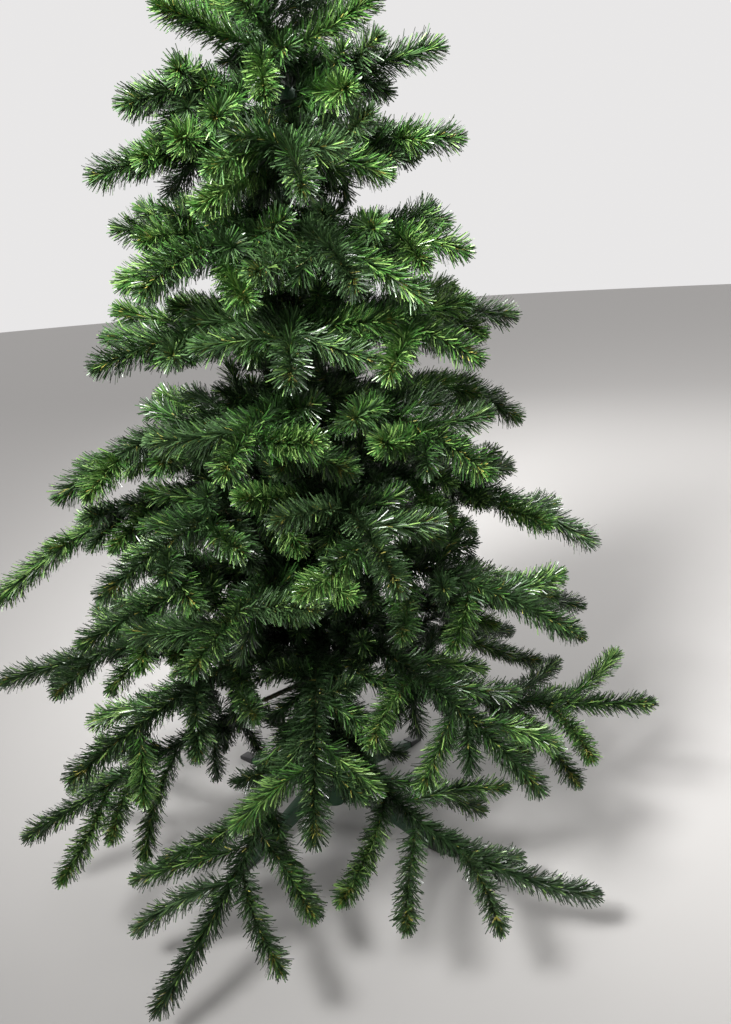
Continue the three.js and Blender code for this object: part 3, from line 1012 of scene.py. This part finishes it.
@dataclass
class NeedleWork:
    """Clothes every spray with needles, one piece for each colour of each zone."""

    sprays: list[Spray]
    step: float = 6.0
    end_room: float = 20.0
    end_lean: float = 0.5
    end_size: float = 0.6
    pitch_scale: float = 1.07
    roll: float = 0.6
    spin: float = 1.1
    sizes: Pair = (0.8, 1.12)
    fresh_rise: float = 1.5
    fresh_start: float = 0.15
    bright_least: float = 0.3
    bright_rise: float = 2.2
    deep_least: float = 1.2
    deep_fall: float = 0.4
    # how fast the deep needles grow in number with painted shade
    painted_shade_deep_rise: float = 1.4
    tree: TreeMaker = field(init=False)

    def __post_init__(self) -> None:
        """Makes the Geometry Nodes tree that every piece shares."""
        self.tree = self.make_tree()

    def make_tree(self) -> TreeMaker:
        """The tree that sets needles along wires.

        Returns:
            The tree, with its named inputs.
        """
        maker = TreeMaker("needles_on_wire")
        maker.new_inputs("Float", "Pitch", "Needle Length", "Needle Width", "Taper", "Lean",
                         "Loose", "End Room", "End Lean", "End Size")
        maker.new_inputs("Int", "Seed")
        seeds = [maker.math("ADD", "Seed", float(k)) for k in range(6)]
        wire = maker.add("GeometryNodeMeshToCurve", Mesh="Geometry")
        points = maker.add("GeometryNodeCurveToPoints", {"mode": "LENGTH"}, Curve=wire,
                           Length="Pitch")
        spare = maker.math("GREATER_THAN", maker.random(0.0, 1.0, seeds[0]),
                           maker.named("share"))
        kept = maker.add("GeometryNodeDeleteGeometry", {"domain": "POINT"}, Geometry=points,
                         Selection=spare)
        lean = maker.math("MULTIPLY", "Lean", maker.fall("End Room", "End Lean"))
        loose = maker.random(maker.math("MULTIPLY", "Loose", -1.0), "Loose", seeds[1])
        align = maker.add("FunctionNodeAlignRotationToVector", {"axis": "Z"},
                          Vector=maker.named("along", "FLOAT_VECTOR"))
        roll = maker.math("MULTIPLY", maker.add("GeometryNodeInputIndex"), GOLDEN_TURN)
        roll = maker.math("ADD", roll, maker.random(-self.roll, self.roll, seeds[2]))
        turn = maker.turned(align, (0, 0, 1), roll)
        turn = maker.turned(turn, (1, 0, 0), maker.math("ADD", lean, loose))
        turn = maker.turned(turn, (0, 0, 1), maker.random(-self.spin, self.spin, seeds[3]))
        size = maker.math("MULTIPLY", maker.named("size"), maker.random(*self.sizes, seeds[4]))
        size = maker.math("MULTIPLY", size, maker.fall("End Room", "End Size"))
        scale = maker.add("ShaderNodeCombineXYZ", X=1.0, Y=1.0, Z=size)
        needles = maker.add("GeometryNodeInstanceOnPoints", Points=kept,
                            Instance=self.blade(maker), Rotation=turn, Scale=scale)
        maker.finish(maker.add("GeometryNodeStoreNamedAttribute",
                               {"data_type": "FLOAT", "domain": "INSTANCE"}, Name="shade",
                               Geometry=needles, Value=maker.random(0.0, 1.0, seeds[5])))
        return maker

    @staticmethod
    def blade(maker: TreeMaker) -> bpy.types.Node:
        """One needle, standing on its root along +Z.

        Args:
            maker: the tree that it is part of.

        Returns:
            The node that makes it.
        """
        grid = maker.add("GeometryNodeMeshGrid", Size_X="Needle Width", Size_Y="Needle Length",
                         Vertices_X=2, Vertices_Y=2)
        spot = maker.add("ShaderNodeSeparateXYZ", Vector=maker.add("GeometryNodeInputPosition"))
        height = maker.math("ADD", spot.outputs["Y"],
                            maker.math("MULTIPLY", "Needle Length", 0.5))
        share = maker.math("DIVIDE", height, "Needle Length")
        narrow = maker.math("SUBTRACT", 1.0, maker.math("MULTIPLY", share, "Taper"))
        place = maker.add("ShaderNodeCombineXYZ", Y=0.0, Z=height,
                          X=maker.math("MULTIPLY", spot.outputs["X"], narrow))
        return maker.add("GeometryNodeSetPosition", Geometry=grid, Position=place)

    def strands(self, zone: Zone, tone: Tone) -> tuple[list[Strand], float]:
        """The stretches of wire that bear one colour in one zone.

        Args:
            zone: the band of tiers.
            tone: the needles' colour.

        Returns:
            The strands, and the most needles for each millimetre among them.
        """
        found = []
        for spray in self.sprays:
            if spray.level not in zone.levels:
                continue
            length = sum((b - a).length for a, b in zip(spray.path, spray.path[1:]))
            for layer in LAYERS[spray.kind][tone]:
                low = spray.bare + (length - spray.bare) * layer.low
                strand = cut_path(spray.path, low, self.step)
                strand.share = layer.per_mm * self.liking(spray, tone, zone)
                strand.size = layer.size * zone.size
                if strand.share > 0:
                    found.append(strand)
        most = max(strand.share for strand in found)
        for strand in found:
            strand.share /= most
        return found, most

    def liking(self, spray: Spray, tone: Tone, zone: Zone) -> float:
        """How much more or less of a colour one spray has, painted shade included.

        Args:
            spray: the spray, with its mark and kind.
            tone: the colour.
            zone: the band of tiers.

        Returns:
            A factor on the count of its needles.
        """
        # Painted shade: as it grows, the deep needles rise and the fresh and cool ones fall,
        # darkening the low zones and the inner sprays.
        shade = zone.shade * PAINTED_SHADE_BY_KIND[spray.kind]
        if tone in (Tone.FRESH, Tone.COOL):
            fresh = clamp(self.fresh_rise * spray.mark - self.fresh_start)
            return (1.0 - shade) * (fresh if tone is Tone.FRESH else 1.0 - fresh)
        # The light-green needles follow the spray's random mark, scaled by the zone, which has
        # fewer of them low down, in part as painted shade.
        if tone is Tone.BRIGHT:
            return zone.bright * (self.bright_least + self.bright_rise * spray.mark ** 3)
        if tone is Tone.DEEP:
            return self.deep_least - self.deep_fall * spray.mark + self.painted_shade_deep_rise * shade
        return 1.0

    def clothe(self) -> list[tuple[Piece, list[str]]]:
        """Grows the needles.

        Returns:
            Each piece, with the names of the masses that it stands for.
        """
        made = []
        for number, zone in enumerate(ZONES):
            masses = sorted({s.mass for s in self.sprays if s.level in zone.levels})
            for order, tone in enumerate(Tone):
                strands, per_mm = self.strands(zone, tone)
                cut = NEEDLES[tone]
                piece = path_piece(f"needles_{zone.name}_{tone.value}", strands)
                self.tree.apply(piece, {
                    "Pitch": MM / per_mm * self.pitch_scale,
                    "Needle Length": cut.length * MM,
                    "Needle Width": cut.width * MM,
                    "Taper": cut.taper,
                    "Lean": math.radians(zone.lean + cut.lean),
                    "Loose": math.radians(cut.loose),
                    "End Room": self.end_room * MM,
                    "End Lean": self.end_lean,
                    "End Size": self.end_size,
                    "Seed": 100 * number + 10 * order,
                    "Material": MATERIALS[tone],
                })
                made.append((piece, masses))
        return made


@dataclass(frozen=True)
class SkinFinish:
    """Paint, tape or moulded plastic: two shades in patches and a fine grain."""

    dark: Triple
    light: Triple
    roughness: float
    patch: float
    grain: float
    relief: float
    ends: Pair = (0.35, 0.68)
    spread: float = 0.1
    strength: float = 0.6

    def material(self, name: str) -> bpy.types.Material:
        """The finish as a node material.

        Args:
            name: the material's name.

        Returns:
            The material.
        """
        maker = ShaderMaker(name)
        patches = maker.noise(self.patch, detail=4.0)
        maker.colour(patches, self.dark, self.light, self.ends)
        maker.roughness(patches, self.roughness - self.spread, self.roughness + self.spread)
        bump = maker.add("ShaderNodeBump", Distance=self.relief * MM, Strength=self.strength,
                         Height=maker.noise(self.grain, detail=3.0))
        maker.feed(maker.shader.inputs["Normal"], bump)
        return maker.material


SKINS = {
    Skin.TAPE: SkinFinish((0.012, 0.026, 0.010), (0.060, 0.042, 0.016), 0.55, 90.0, 900.0, 0.15),
    Skin.COAT: SkinFinish((0.012, 0.038, 0.018), (0.018, 0.052, 0.025), 0.38, 14.0, 700.0, 0.10),
    Skin.BLACK: SkinFinish((0.010, 0.010, 0.011), (0.020, 0.020, 0.021), 0.48, 30.0, 1500.0, 0.06),
    Skin.ZINC: SkinFinish((0.300, 0.300, 0.290), (0.430, 0.430, 0.420), 0.35, 60.0, 900.0, 0.05),
}


@dataclass(frozen=True)
class Wire:
    """One kind of wire, in millimetres, and what is made of it."""

    name: str
    kinds: tuple[SprayKind, ...]
    width: float
    thickness: float
    thinnest: float
    sides: int
    step: float = 12.0
    twist: float = math.inf


WIRES = (
    Wire("wires_of_stems", (SprayKind.STEM,), 2.0, 1.15, 0.6, 6, step=4.0, twist=22.0),
    Wire("wires_of_tips", (SprayKind.TIP, SprayKind.FINE), 1.0, 1.0, 0.7, 4),
)


@dataclass
class WireWork:
    """The wires that the needles are held in: twisted stems and plain tips."""

    sprays: list[Spray]
    thin_room: float = 300.0
    step: float = 12.0
    tree: TreeMaker = field(init=False)

    def __post_init__(self) -> None:
        """Makes the Geometry Nodes tree of both kinds of wire."""
        self.tree = self.make_tree()

    @staticmethod
    def make_tree() -> TreeMaker:
        """The tree that sweeps a flat oval along wires and turns it as it goes.

        Returns:
            The tree, with its named inputs.
        """
        maker = TreeMaker("wire_on_path")
        maker.new_inputs("Float", "Step", "Turn", "Width", "Thickness", "Thin Room", "Thinnest")
        maker.new_inputs("Int", "Sides")
        wire = maker.add("GeometryNodeMeshToCurve", Mesh="Geometry")
        even = maker.add("GeometryNodeResampleCurve", {"mode": "LENGTH"}, Curve=wire,
                         Length="Step")
        along = maker.add("GeometryNodeSplineParameter").outputs["Length"]
        turned = maker.add("GeometryNodeSetCurveTilt", Curve=even,
                           Tilt=maker.math("MULTIPLY", along, "Turn"))
        thin = maker.fall("Thin Room", "Thinnest")
        sized = maker.add("GeometryNodeSetCurveRadius", Curve=turned, Radius=thin)
        ring = maker.add("GeometryNodeCurvePrimitiveCircle", Resolution="Sides", Radius=1.0)
        scale = maker.add("ShaderNodeCombineXYZ", X="Width", Y="Thickness", Z=1.0)
        oval = maker.add("GeometryNodeTransform", Geometry=ring, Scale=scale)
        maker.finish(maker.add("GeometryNodeCurveToMesh", Curve=sized, Profile_Curve=oval,
                               Scale=thin, Fill_Caps=True))
        return maker

    def make(self) -> list[Piece]:
        """Makes every kind of wire as one piece.

        Returns:
            The pieces.
        """
        made = []
        for wire in WIRES:
            strands = [cut_path(spray.path, 0.0, self.step) for spray in self.sprays
                       if spray.kind in wire.kinds]
            made.append(self.tree.apply(path_piece(wire.name, strands), {
                "Step": wire.step * MM,
                "Turn": 2 * math.pi / (wire.twist * MM),
                "Width": wire.width * MM,
                "Thickness": wire.thickness * MM,
                "Thinnest": wire.thinnest,
                "Sides": wire.sides,
                "Thin Room": self.thin_room * MM,
                "Material": MATERIALS[Skin.TAPE],
            }))
        return made


class Shape:
    """Builds one piece's closed mesh from points in millimetres."""

    def __init__(self, name: str) -> None:
        """Starts an empty mesh.

        Args:
            name: the piece's name.
        """
        self.name = name
        self.mesh = bmesh.new()

    def rings(self, rings: list[list[Vector]]) -> list[bmesh.types.BMFace]:
        """Skins a tube through rings of points and closes both its ends.

        Args:
            rings: the rings, all with as many points.

        Returns:
            The new faces.
        """
        rows = [[self.mesh.verts.new(p * MM) for p in ring] for ring in rings]
        faces = [self.mesh.faces.new(rows[0]), self.mesh.faces.new(rows[-1])]
        for lower, upper in zip(rows, rows[1:]):
            for j in range(len(lower)):
                k = (j + 1) % len(lower)
                faces.append(self.mesh.faces.new((lower[j], lower[k], upper[k], upper[j])))
        return faces

    def lathe(self, profile: list[Pair], sides: int, place: Matrix | None = None,
              relief: Callable[[int, float], float] = lambda k, share: 0.0) -> None:
        """Turns a profile of radii and heights about the upright axis.

        Args:
            profile: the profile. Its two ends are closed flat.
            sides: how many sides the turned piece has.
            place: where the axis goes, or None to leave it upright in the middle.
            relief: what is added to the radius, by the profile's point and the share of a turn.
        """
        place = place or Matrix()
        rings = []
        for k, (radius, height) in enumerate(profile):
            ring = []
            for j in range(sides):
                angle = 2 * math.pi * j / sides
                r = radius + relief(k, j / sides)
                ring.append(place @ Vector((r * math.cos(angle), r * math.sin(angle), height)))
            rings.append(ring)
        self.rings(rings)

    def prism(self, outline: list[Pair], width: float, place: Matrix, broken: float,
              panel: float = 0.0) -> None:
        """Gives an upright outline a width, with broken edges and a sunk panel.

        Args:
            outline: its points, as distance from the axis and height.
            width: its width across.
            place: how it is turned and moved.
            broken: how far its edges are broken.
            panel: how far in from the outline a panel is pressed, or 0 for none.
        """
        rings = [[place @ Vector((r, side * width / 2, z)) for r, z in outline]
                 for side in (-1, 1)]
        faces = self.rings(rings)
        bmesh.ops.recalc_face_normals(self.mesh, faces=faces)
        edges = list(dict.fromkeys(edge for face in faces for edge in face.edges))
        if panel:
            bmesh.ops.inset_individual(self.mesh, faces=faces[:2], thickness=panel * MM)
            bmesh.ops.inset_individual(self.mesh, faces=faces[:2], thickness=MM, depth=-MM)
        bmesh.ops.bevel(self.mesh, geom=edges, offset=broken * MM, segments=2,
                        profile=0.5, affect="EDGES")

    def finish(self, skin: Skin, sharp: float = 40.0) -> Piece:
        """Ends the mesh and makes its object.

        Args:
            skin: its finish.
            sharp: the angle past which an edge stays sharp, in degrees.

        Returns:
            The object, linked to the scene.
        """
        bmesh.ops.recalc_face_normals(self.mesh, faces=self.mesh.faces)
        data = bpy.data.meshes.new(self.name)
        self.mesh.to_mesh(data)
        self.mesh.free()
        data.shade_smooth()
        data.set_sharp_from_angle(angle=math.radians(sharp))
        data.materials.append(MATERIALS[skin])
        return placed(self.name, data)


def rounded(profile: list[Pair], radius: float, steps: int = 3,
            most: float = 0.45) -> list[Pair]:
    """A profile whose inner corners are rounded.

    Args:
        profile: its points.
        radius: how far from a corner the rounding begins.
        steps: how many stretches stand for a corner.
        most: the largest share of a stretch that a rounding takes.

    Returns:
        The new points.
    """
    points = [profile[0]]
    for before, corner, after in zip(profile, profile[1:], profile[2:]):
        a, c, b = Vector(before), Vector(corner), Vector(after)
        start = c + (a - c).normalized() * min(radius, (a - c).length * most)
        end = c + (b - c).normalized() * min(radius, (b - c).length * most)
        for k in range(steps + 1):
            t = k / steps
            p = start * (1 - t) ** 2 + c * (2 * t * (1 - t)) + end * t * t
            points.append((p.x, p.y))
    points.append(profile[-1])
    return points


@dataclass
class Pole:
    """The two-piece pole, with the collars that the branches hook into."""

    lower_radius: float = 14.0
    upper_radius: float = 11.0
    foot: float = 5.3
    joint: float = 700.0
    spigot_radius: float = 10.0
    spigot: float = 45.0
    collar_radius: float = 24.0
    collar_half: float = 9.0
    collar_rim: float = 1.4
    flare: float = 2.0
    band: float = 4.0
    lip: tuple[Pair, ...] = ((0.0, -9.0), (0.9, -7.0), (0.9, 0.0))
    corner: float = 0.8
    clearance: float = 0.3
    drop: float = 14.0
    top: float = 1261.7
    sides: int = 48

    def collar_heights(self) -> list[float]:
        """The middle of each collar, from the lowest up."""
        return [tier.height + (self.drop if level == 0 else 0) for level, tier in enumerate(TIERS)]

    def collars(self, heights: list[float], radius: float) -> list[Pair]:
        """The stretch of profile that runs over some collars.

        Args:
            heights: the collars' middles.
            radius: the pole's radius there.

        Returns:
            The profile's points.
        """
        half, rim, inner = self.collar_half, self.collar_radius, self.collar_half - self.band
        side = [(radius, half + self.flare), (radius + self.flare, half), (rim, half),
                (rim, inner), (rim - self.collar_rim, inner - 1)]
        points = []
        for z in heights:
            points += [(r, z - h) for r, h in side] + [(r, z + h) for r, h in side[::-1]]
        return points

    def make(self) -> list[tuple[Piece, list[str]]]:
        """Both tubes of the pole.

        Returns:
            Each piece, with the node that it stands for.
        """
        heights = self.collar_heights()
        joint, bottom = self.joint, self.joint - self.spigot
        r, core, bore = self.lower_radius, self.spigot_radius, self.spigot_radius + self.clearance
        lower = Shape("pole_lower_coated")
        lower.lathe(rounded([
            (r, self.foot), *self.collars([z for z in heights if z < joint], r),
            *((r + out, joint + up) for out, up in self.lip),
            (bore + 1, joint), (bore, joint - 2), (bore, bottom),
        ], self.corner), self.sides)
        r = self.upper_radius
        upper = Shape("pole_upper_coated")
        upper.lathe(rounded([
            (core, bottom + 0.5), (core, joint + self.clearance), (r, joint + self.clearance),
            *self.collars([z for z in heights if z > joint], r), (r, self.top),
        ], self.corner), self.sides)
        return [(lower.finish(Skin.COAT), ["pole_lower"]),
                (upper.finish(Skin.COAT), ["pole_upper"])]


@dataclass
class Sockets:
    """The bent brackets on the collars, each with the pin that a branch hooks over."""

    inner: float = 22.0
    outer: float = 33.0
    half_height: float = 8.0
    half_gap: float = 4.6
    sheet: float = 1.6
    sheet_edge: float = 0.3
    pin_radius: float = 1.6
    pin_tip: float = 0.96
    pin_edge: float = 0.6
    pin_place: Pair = (29.0, -3.0)
    corner: Pair = (3.0, 4.0)

    def pattern(self) -> Piece:
        """Makes one bracket, at azimuth 0 and height 0.

        Returns:
            The bracket, to be repeated.
        """
        shape = Shape("bracket")
        high, low = self.half_height, self.half_height - self.corner[1]
        far, near = self.outer, self.outer - self.corner[0]
        for side in (-1, 1):
            shape.prism([(self.inner, -high), (near, -high), (far, -low), (far, low),
                         (near, high), (self.inner, high)],
                        self.sheet, Matrix.Translation((0, side * self.half_gap, 0)),
                        self.sheet_edge)
        place = Matrix.Translation((self.pin_place[0], 0, self.pin_place[1]))
        end = self.half_gap + self.sheet
        start = end - self.pin_edge
        shape.lathe([(self.pin_tip, -end), (self.pin_radius, -start), (self.pin_radius, start),
                     (self.pin_tip, end)], 12, place @ Matrix.Rotation(math.pi / 2, 4, "X"))
        return shape.finish(Skin.COAT)

    def make(self, heights: list[float]) -> Piece:
        """Every bracket of the pole, by a Geometry Nodes tree.

        Args:
            heights: the collars' middles.

        Returns:
            The piece.
        """
        maker = TreeMaker("bracket_on_point")
        maker.new_inputs("Object", "Bracket")
        source = maker.add("GeometryNodeObjectInfo", Object="Bracket")
        spots = maker.add("GeometryNodeMeshToPoints", Mesh="Geometry")
        turn = maker.add("FunctionNodeAxisAngleToRotation", Axis=(0, 0, 1),
                         Angle=maker.named("share"))
        maker.finish(maker.add("GeometryNodeInstanceOnPoints", Points=spots, Rotation=turn,
                               Instance=source.outputs["Geometry"]))
        strands = [Strand([Vector((0, 0, height))], [0.0], math.radians(row.azimuth), 1.0)
                   for tier, height in zip(TIERS, heights) for row in tier.rows]
        pattern = self.pattern()
        piece = maker.apply(path_piece("branch_brackets", strands),
                            {"Bracket": pattern, "Material": MATERIALS[Skin.COAT]})
        bpy.data.objects.remove(pattern)
        return piece


@dataclass
class Boughs:
    """The six bare arms of the lowest branches: steel rods wound with tape."""

    inner: float = 24.3
    outer: float = 150.0
    drop: float = 14.0
    root_radius: float = 5.0
    tip_radius: float = 4.0
    ridge: float = 0.45
    wind: float = 11.0
    step: float = 1.4
    sides: int = 16

    def make(self) -> Piece:
        """Makes all the arms.

        Returns:
            One piece.
        """
        shape = Shape("boughs_taped")
        height = TIERS[0].height
        length = self.outer - self.inner
        steps = round(length / self.step)
        taper = self.tip_radius - self.root_radius
        shares = [k / steps for k in range(steps + 1)]
        profile = [(self.root_radius + taper * u, length * u) for u in shares]
        slope = Matrix(((0, 0, 1, self.inner), (1, 0, 0, 0),
                        (0, 1, -self.drop / length, height + self.drop), (0, 0, 0, 1)))
        for row in TIERS[0].rows:
            turn = Matrix.Rotation(math.radians(row.azimuth), 4, "Z")
            shape.lathe(profile, self.sides, turn @ slope, lambda k, share:
                        -self.ridge * (1 - (profile[k][1] / self.wind - share) % 1.0))
        return shape.finish(Skin.TAPE, sharp=60.0)


@dataclass
class Stand:
    """The folding stand: a socket, four pressed legs with plastic feet, and a clamp screw."""

    hub_radius: float = 19.0
    hub_height: float = 130.0
    hub_foot: tuple[Pair, ...] = ((-1.0, 0.0), (0.0, 1.5))
    hub_rim: tuple[Pair, ...] = ((0.0, -9.0), (1.2, -7.0), (1.2, -1.5), (-0.5, 0.0))
    hub_corner: float = 0.8
    bore: float = 14.3
    floor_plate: float = 5.0
    boss: tuple[Pair, ...] = ((7.5, -2.0), (7.5, 3.2), (6.7, 4.0), (3.6, 4.0))
    boss_corner: float = 0.4
    leg_start: float = 18.5
    leg_reach: float = 255.0
    leg_width: float = 18.0
    leg_root: float = 40.0
    leg_top: float = 82.0
    leg_edge: float = 1.4
    leg_panel: float = 6.0
    toe_start: float = 217.0
    toe_height: float = 7.0
    instep: Pair = (223.0, 12.0)
    foot: tuple[Pair, ...] = ((221.0, 0.0), (256.5, 0.0), (256.5, 7.6), (223.0, 13.2),
                              (221.0, 14.4))
    foot_width: float = 20.4
    foot_edge: float = 1.1
    first_leg: float = 45.0
    bolt_place: float = 29.0
    bolt_heights: Pair = (50.0, 68.0)
    washer: tuple[Pair, ...] = ((5.0, -0.3), (5.0, 0.5), (4.2, 0.8))
    nut: tuple[Pair, ...] = ((4.0, 0.5), (4.0, 3.0), (3.3, 3.6))
    screw_height: float = 108.0
    screw_ends: Pair = (14.3, 48.3)
    screw_radius: float = 3.0
    screw_pitch: float = 2.5
    thread_depth: float = 0.7
    thread_steps: int = 10
    knob: tuple[Pair, ...] = ((4.0, 44.3), (4.6, 47.3), (9.6, 47.8), (10.0, 54.3), (9.4, 61.8),
                              (5.0, 62.3), (2.0, 61.7))
    knob_corner: float = 1.6
    lobes: int = 7
    lobe_share: float = 0.1

    def sideways(self) -> Matrix:
        """What lays an upright axis along the clamp screw."""
        return Matrix(((0, 0, 1, 0), (1, 0, 0, 0), (0, 1, 0, self.screw_height), (0, 0, 0, 1)))

    def around(self) -> list[Matrix]:
        """The turn of each leg about the pole."""
        return [Matrix.Rotation(math.radians(self.first_leg + 90 * k), 4, "Z") for k in range(4)]

    def hub(self) -> Piece:
        """Makes the socket, with a rolled rim and a boss for the screw.

        Returns:
            One piece.
        """
        shape = Shape("stand_hub_coated")
        r, top = self.hub_radius, self.hub_height
        shape.lathe(rounded([
            *((r + out, up) for out, up in self.hub_foot),
            *((r + out, top + up) for out, up in self.hub_rim),
            (self.bore + 1, top), (self.bore, top - 2), (self.bore, self.floor_plate),
        ], self.hub_corner), 64)
        place = Matrix.Translation((0, 0, self.screw_height))
        boss = [(radius, r + out) for radius, out in self.boss]
        shape.lathe(rounded(boss, self.boss_corner), 6,
                    place @ Matrix.Rotation(math.pi / 2, 4, "Y"))
        return shape.finish(Skin.COAT)

    def legs(self) -> Piece:
        """Makes the four legs, each pressed from sheet and bent over at its foot.

        Returns:
            One piece.
        """
        shape = Shape("stand_legs_coated")
        outline = [(self.leg_start, self.leg_root), (self.toe_start, 0), (self.leg_reach, 0),
                   (self.leg_reach, self.toe_height), self.instep,
                   (self.leg_start, self.leg_top)]
        for turn in self.around():
            shape.prism(outline, self.leg_width, turn, self.leg_edge, self.leg_panel)
        return shape.finish(Skin.COAT)

    def feet(self) -> Piece:
        """Makes the plastic caps over the ends of the legs.

        Returns:
            One piece.
        """
        shape = Shape("stand_feet_moulded")
        for turn in self.around():
            shape.prism(list(self.foot), self.foot_width, turn, self.foot_edge)
        return shape.finish(Skin.BLACK)

    def bolts(self) -> Piece:
        """Makes two bolts through the root of each leg, each with a washer and a nut.

        Returns:
            One piece.
        """
        shape = Shape("stand_bolts")
        half = self.leg_width / 2
        for turn in self.around():
            for height in self.bolt_heights:
                across = (turn @ Matrix.Translation((self.bolt_place, 0, height))
                          @ Matrix.Rotation(math.pi / 2, 4, "X"))
                for side in (-1, 1):
                    for profile, sides in ((self.washer, 24), (self.nut, 6)):
                        shape.lathe([(r, side * (half + out)) for r, out in profile], sides,
                                    across)
        return shape.finish(Skin.ZINC)

    def screw(self) -> Piece:
        """Makes the clamp screw's threaded shaft.

        Returns:
            One piece.
        """
        shape = Shape("clamp_screw_thread")
        start, end = self.screw_ends
        steps = round((end - start) / self.screw_pitch * self.thread_steps)
        profile = [(self.screw_radius, start + (end - start) * k / steps)
                   for k in range(steps + 1)]
        shape.lathe(profile, 12, self.sideways(), lambda k, share:
                    -self.thread_depth * abs(2 * ((k / self.thread_steps + share) % 1.0) - 1))
        return shape.finish(Skin.ZINC, sharp=70.0)

    def knob_piece(self) -> Piece:
        """Makes the clamp screw's lobed knob.

        Returns:
            One piece.
        """
        shape = Shape("clamp_screw_knob")
        profile = rounded(list(self.knob), self.knob_corner)
        shape.lathe(profile, 56, self.sideways(), lambda k, share:
                    self.lobe_share * profile[k][0]
                    * (0.5 + 0.5 * math.cos(self.lobes * 2 * math.pi * share)))
        return shape.finish(Skin.BLACK)


MATERIALS = {tone: finish.material(f"needle_{tone.value}") for tone, finish in FINISHES.items()}
MATERIALS |= {skin: finish.material(f"skin_{skin.value}") for skin, finish in SKINS.items()}


@dataclass(frozen=True)
class Viewpoint:
    """Where the photograph was taken from."""

    place: Triple = (0.0, -1.4237, 1.0)
    yaw: float = 3.72
    pitch: float = 17.1
    roll: float = -3.9
    focal: float = 876.0
    image_height: float = 1024.0
    film: float = 36.0

    def set(self) -> None:
        """Makes the camera and gives it to the scene."""
        yaw, pitch, roll = (math.radians(a) for a in (self.yaw, self.pitch, self.roll))
        ahead = Vector((math.sin(yaw) * math.cos(pitch), math.cos(yaw) * math.cos(pitch),
                        -math.sin(pitch)))
        right = Vector((math.cos(yaw), -math.sin(yaw), 0.0))
        upward = right.cross(ahead)
        x = right * math.cos(roll) + upward * math.sin(roll)
        y = upward * math.cos(roll) - right * math.sin(roll)
        data = bpy.data.cameras.new("camera")
        data.sensor_fit = "VERTICAL"
        data.sensor_height = self.film
        data.lens = self.focal / self.image_height * self.film
        turn = Matrix((x, y, -ahead)).transposed()
        camera = placed("camera", data)
        camera.matrix_world = Matrix.Translation(self.place) @ turn.to_4x4()
        bpy.context.scene.camera = camera


@dataclass(frozen=True)
class Lamp:
    """A square light that faces the tree, in metres and watts."""

    name: str
    place: Triple
    size: float
    power: float
    height: float = 0.7
    spread: float = 180.0

    def hang(self) -> None:
        """Adds the light to the scene."""
        data = bpy.data.lights.new(self.name, "AREA")
        data.size = self.size
        data.energy = self.power
        data.spread = math.radians(self.spread)
        lamp = placed(self.name, data)
        lamp.location = self.place
        away = Vector(self.place) - Vector((0.0, 0.0, self.height))
        lamp.rotation_euler = away.to_track_quat("Z", "Y").to_euler()


LAMPS = (
    Lamp("key", (-1.3, -1.6, 2.7), 0.9, 69.0, height=1.5, spread=66.0),
    Lamp("fill", (2.9, -1.3, 1.7), 2.4, 14.0),
    Lamp("back", (0.8, 2.8, 2.6), 2.4, 44.0),
)


@dataclass(frozen=True)
class Studio:
    """A pale floor and soft light from above on the left."""

    floor_radius: float = 14.0
    floor_sides: int = 96
    floor_colour: Triple = (0.38, 0.37, 0.36)
    floor_roughness: float = 0.75
    sky_colour: Triple = (0.81, 0.80, 0.80)
    sky_strength: float = 1.0

    def build(self) -> None:
        """Sets the floor, the lights and the sky."""
        mesh = bpy.data.meshes.new("floor")
        shape = bmesh.new()
        bmesh.ops.create_circle(shape, cap_ends=True, segments=self.floor_sides,
                                radius=self.floor_radius)
        shape.to_mesh(mesh)
        shape.free()
        paint = ShaderMaker("floor")
        paint.shader.inputs["Base Color"].default_value = (*self.floor_colour, 1.0)
        paint.shader.inputs["Roughness"].default_value = self.floor_roughness
        mesh.materials.append(paint.material)
        placed("floor", mesh)
        for lamp in LAMPS:
            lamp.hang()
        world = bpy.data.worlds.new("sky")
        world.use_nodes = True
        sky = world.node_tree.nodes["Background"]
        sky.inputs["Color"].default_value = (*self.sky_colour, 1.0)
        sky.inputs["Strength"].default_value = self.sky_strength
        bpy.context.scene.world = world
        bpy.context.scene.view_settings.view_transform = "Standard"


def main() -> None:
    """Builds the scene in order and reports each piece."""
    logging.basicConfig(level=logging.INFO, format="%(message)s")
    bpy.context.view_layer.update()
    Viewpoint().set()
    Studio().build()
    plan = CrownPlan()
    plan.grow()
    log.info("side tips %d, finer twigs %d", sum(len(b.sides) for b in plan.branches),
             sum(len(b.fine) for b in plan.branches))
    sprays = Sprays(plan).all()
    masses = sorted({spray.mass for spray in sprays})
    pole, stand = Pole(), Stand()
    legs = [f"stand_leg_{k}" for k in range(1, 5)]
    boughs = [f"bough_{k}" for k in range(1, len(TIERS[0].rows) + 1)]
    made = [(piece, nodes, "needles") for piece, nodes in NeedleWork(sprays).clothe()]
    made += [(piece, masses, "bough_wire") for piece in WireWork(sprays).make()]
    made += [(piece, nodes, "pole_paint") for piece, nodes in pole.make()]
    made += [
        (Sockets().make(pole.collar_heights()), [], "pole_paint"),
        (Boughs().make(), boughs, "bough_wire"),
        (stand.hub(), ["stand_hub"], "stand_paint"),
        (stand.legs(), legs, "stand_paint"),
        (stand.feet(), legs, "screw_plastic"),
        (stand.bolts(), legs, "stand_paint"),
        (stand.screw(), ["stand_clamp_screw"], "stand_paint"),
        (stand.knob_piece(), ["stand_clamp_screw"], "screw_plastic"),
    ]
    for piece, nodes, slot in made:
        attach(piece, "root")
        if nodes:
            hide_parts(*nodes)
        log.info("%s: %d faces", piece.name, len(piece.data.polygons))


if __name__ == "__main__":
    main()
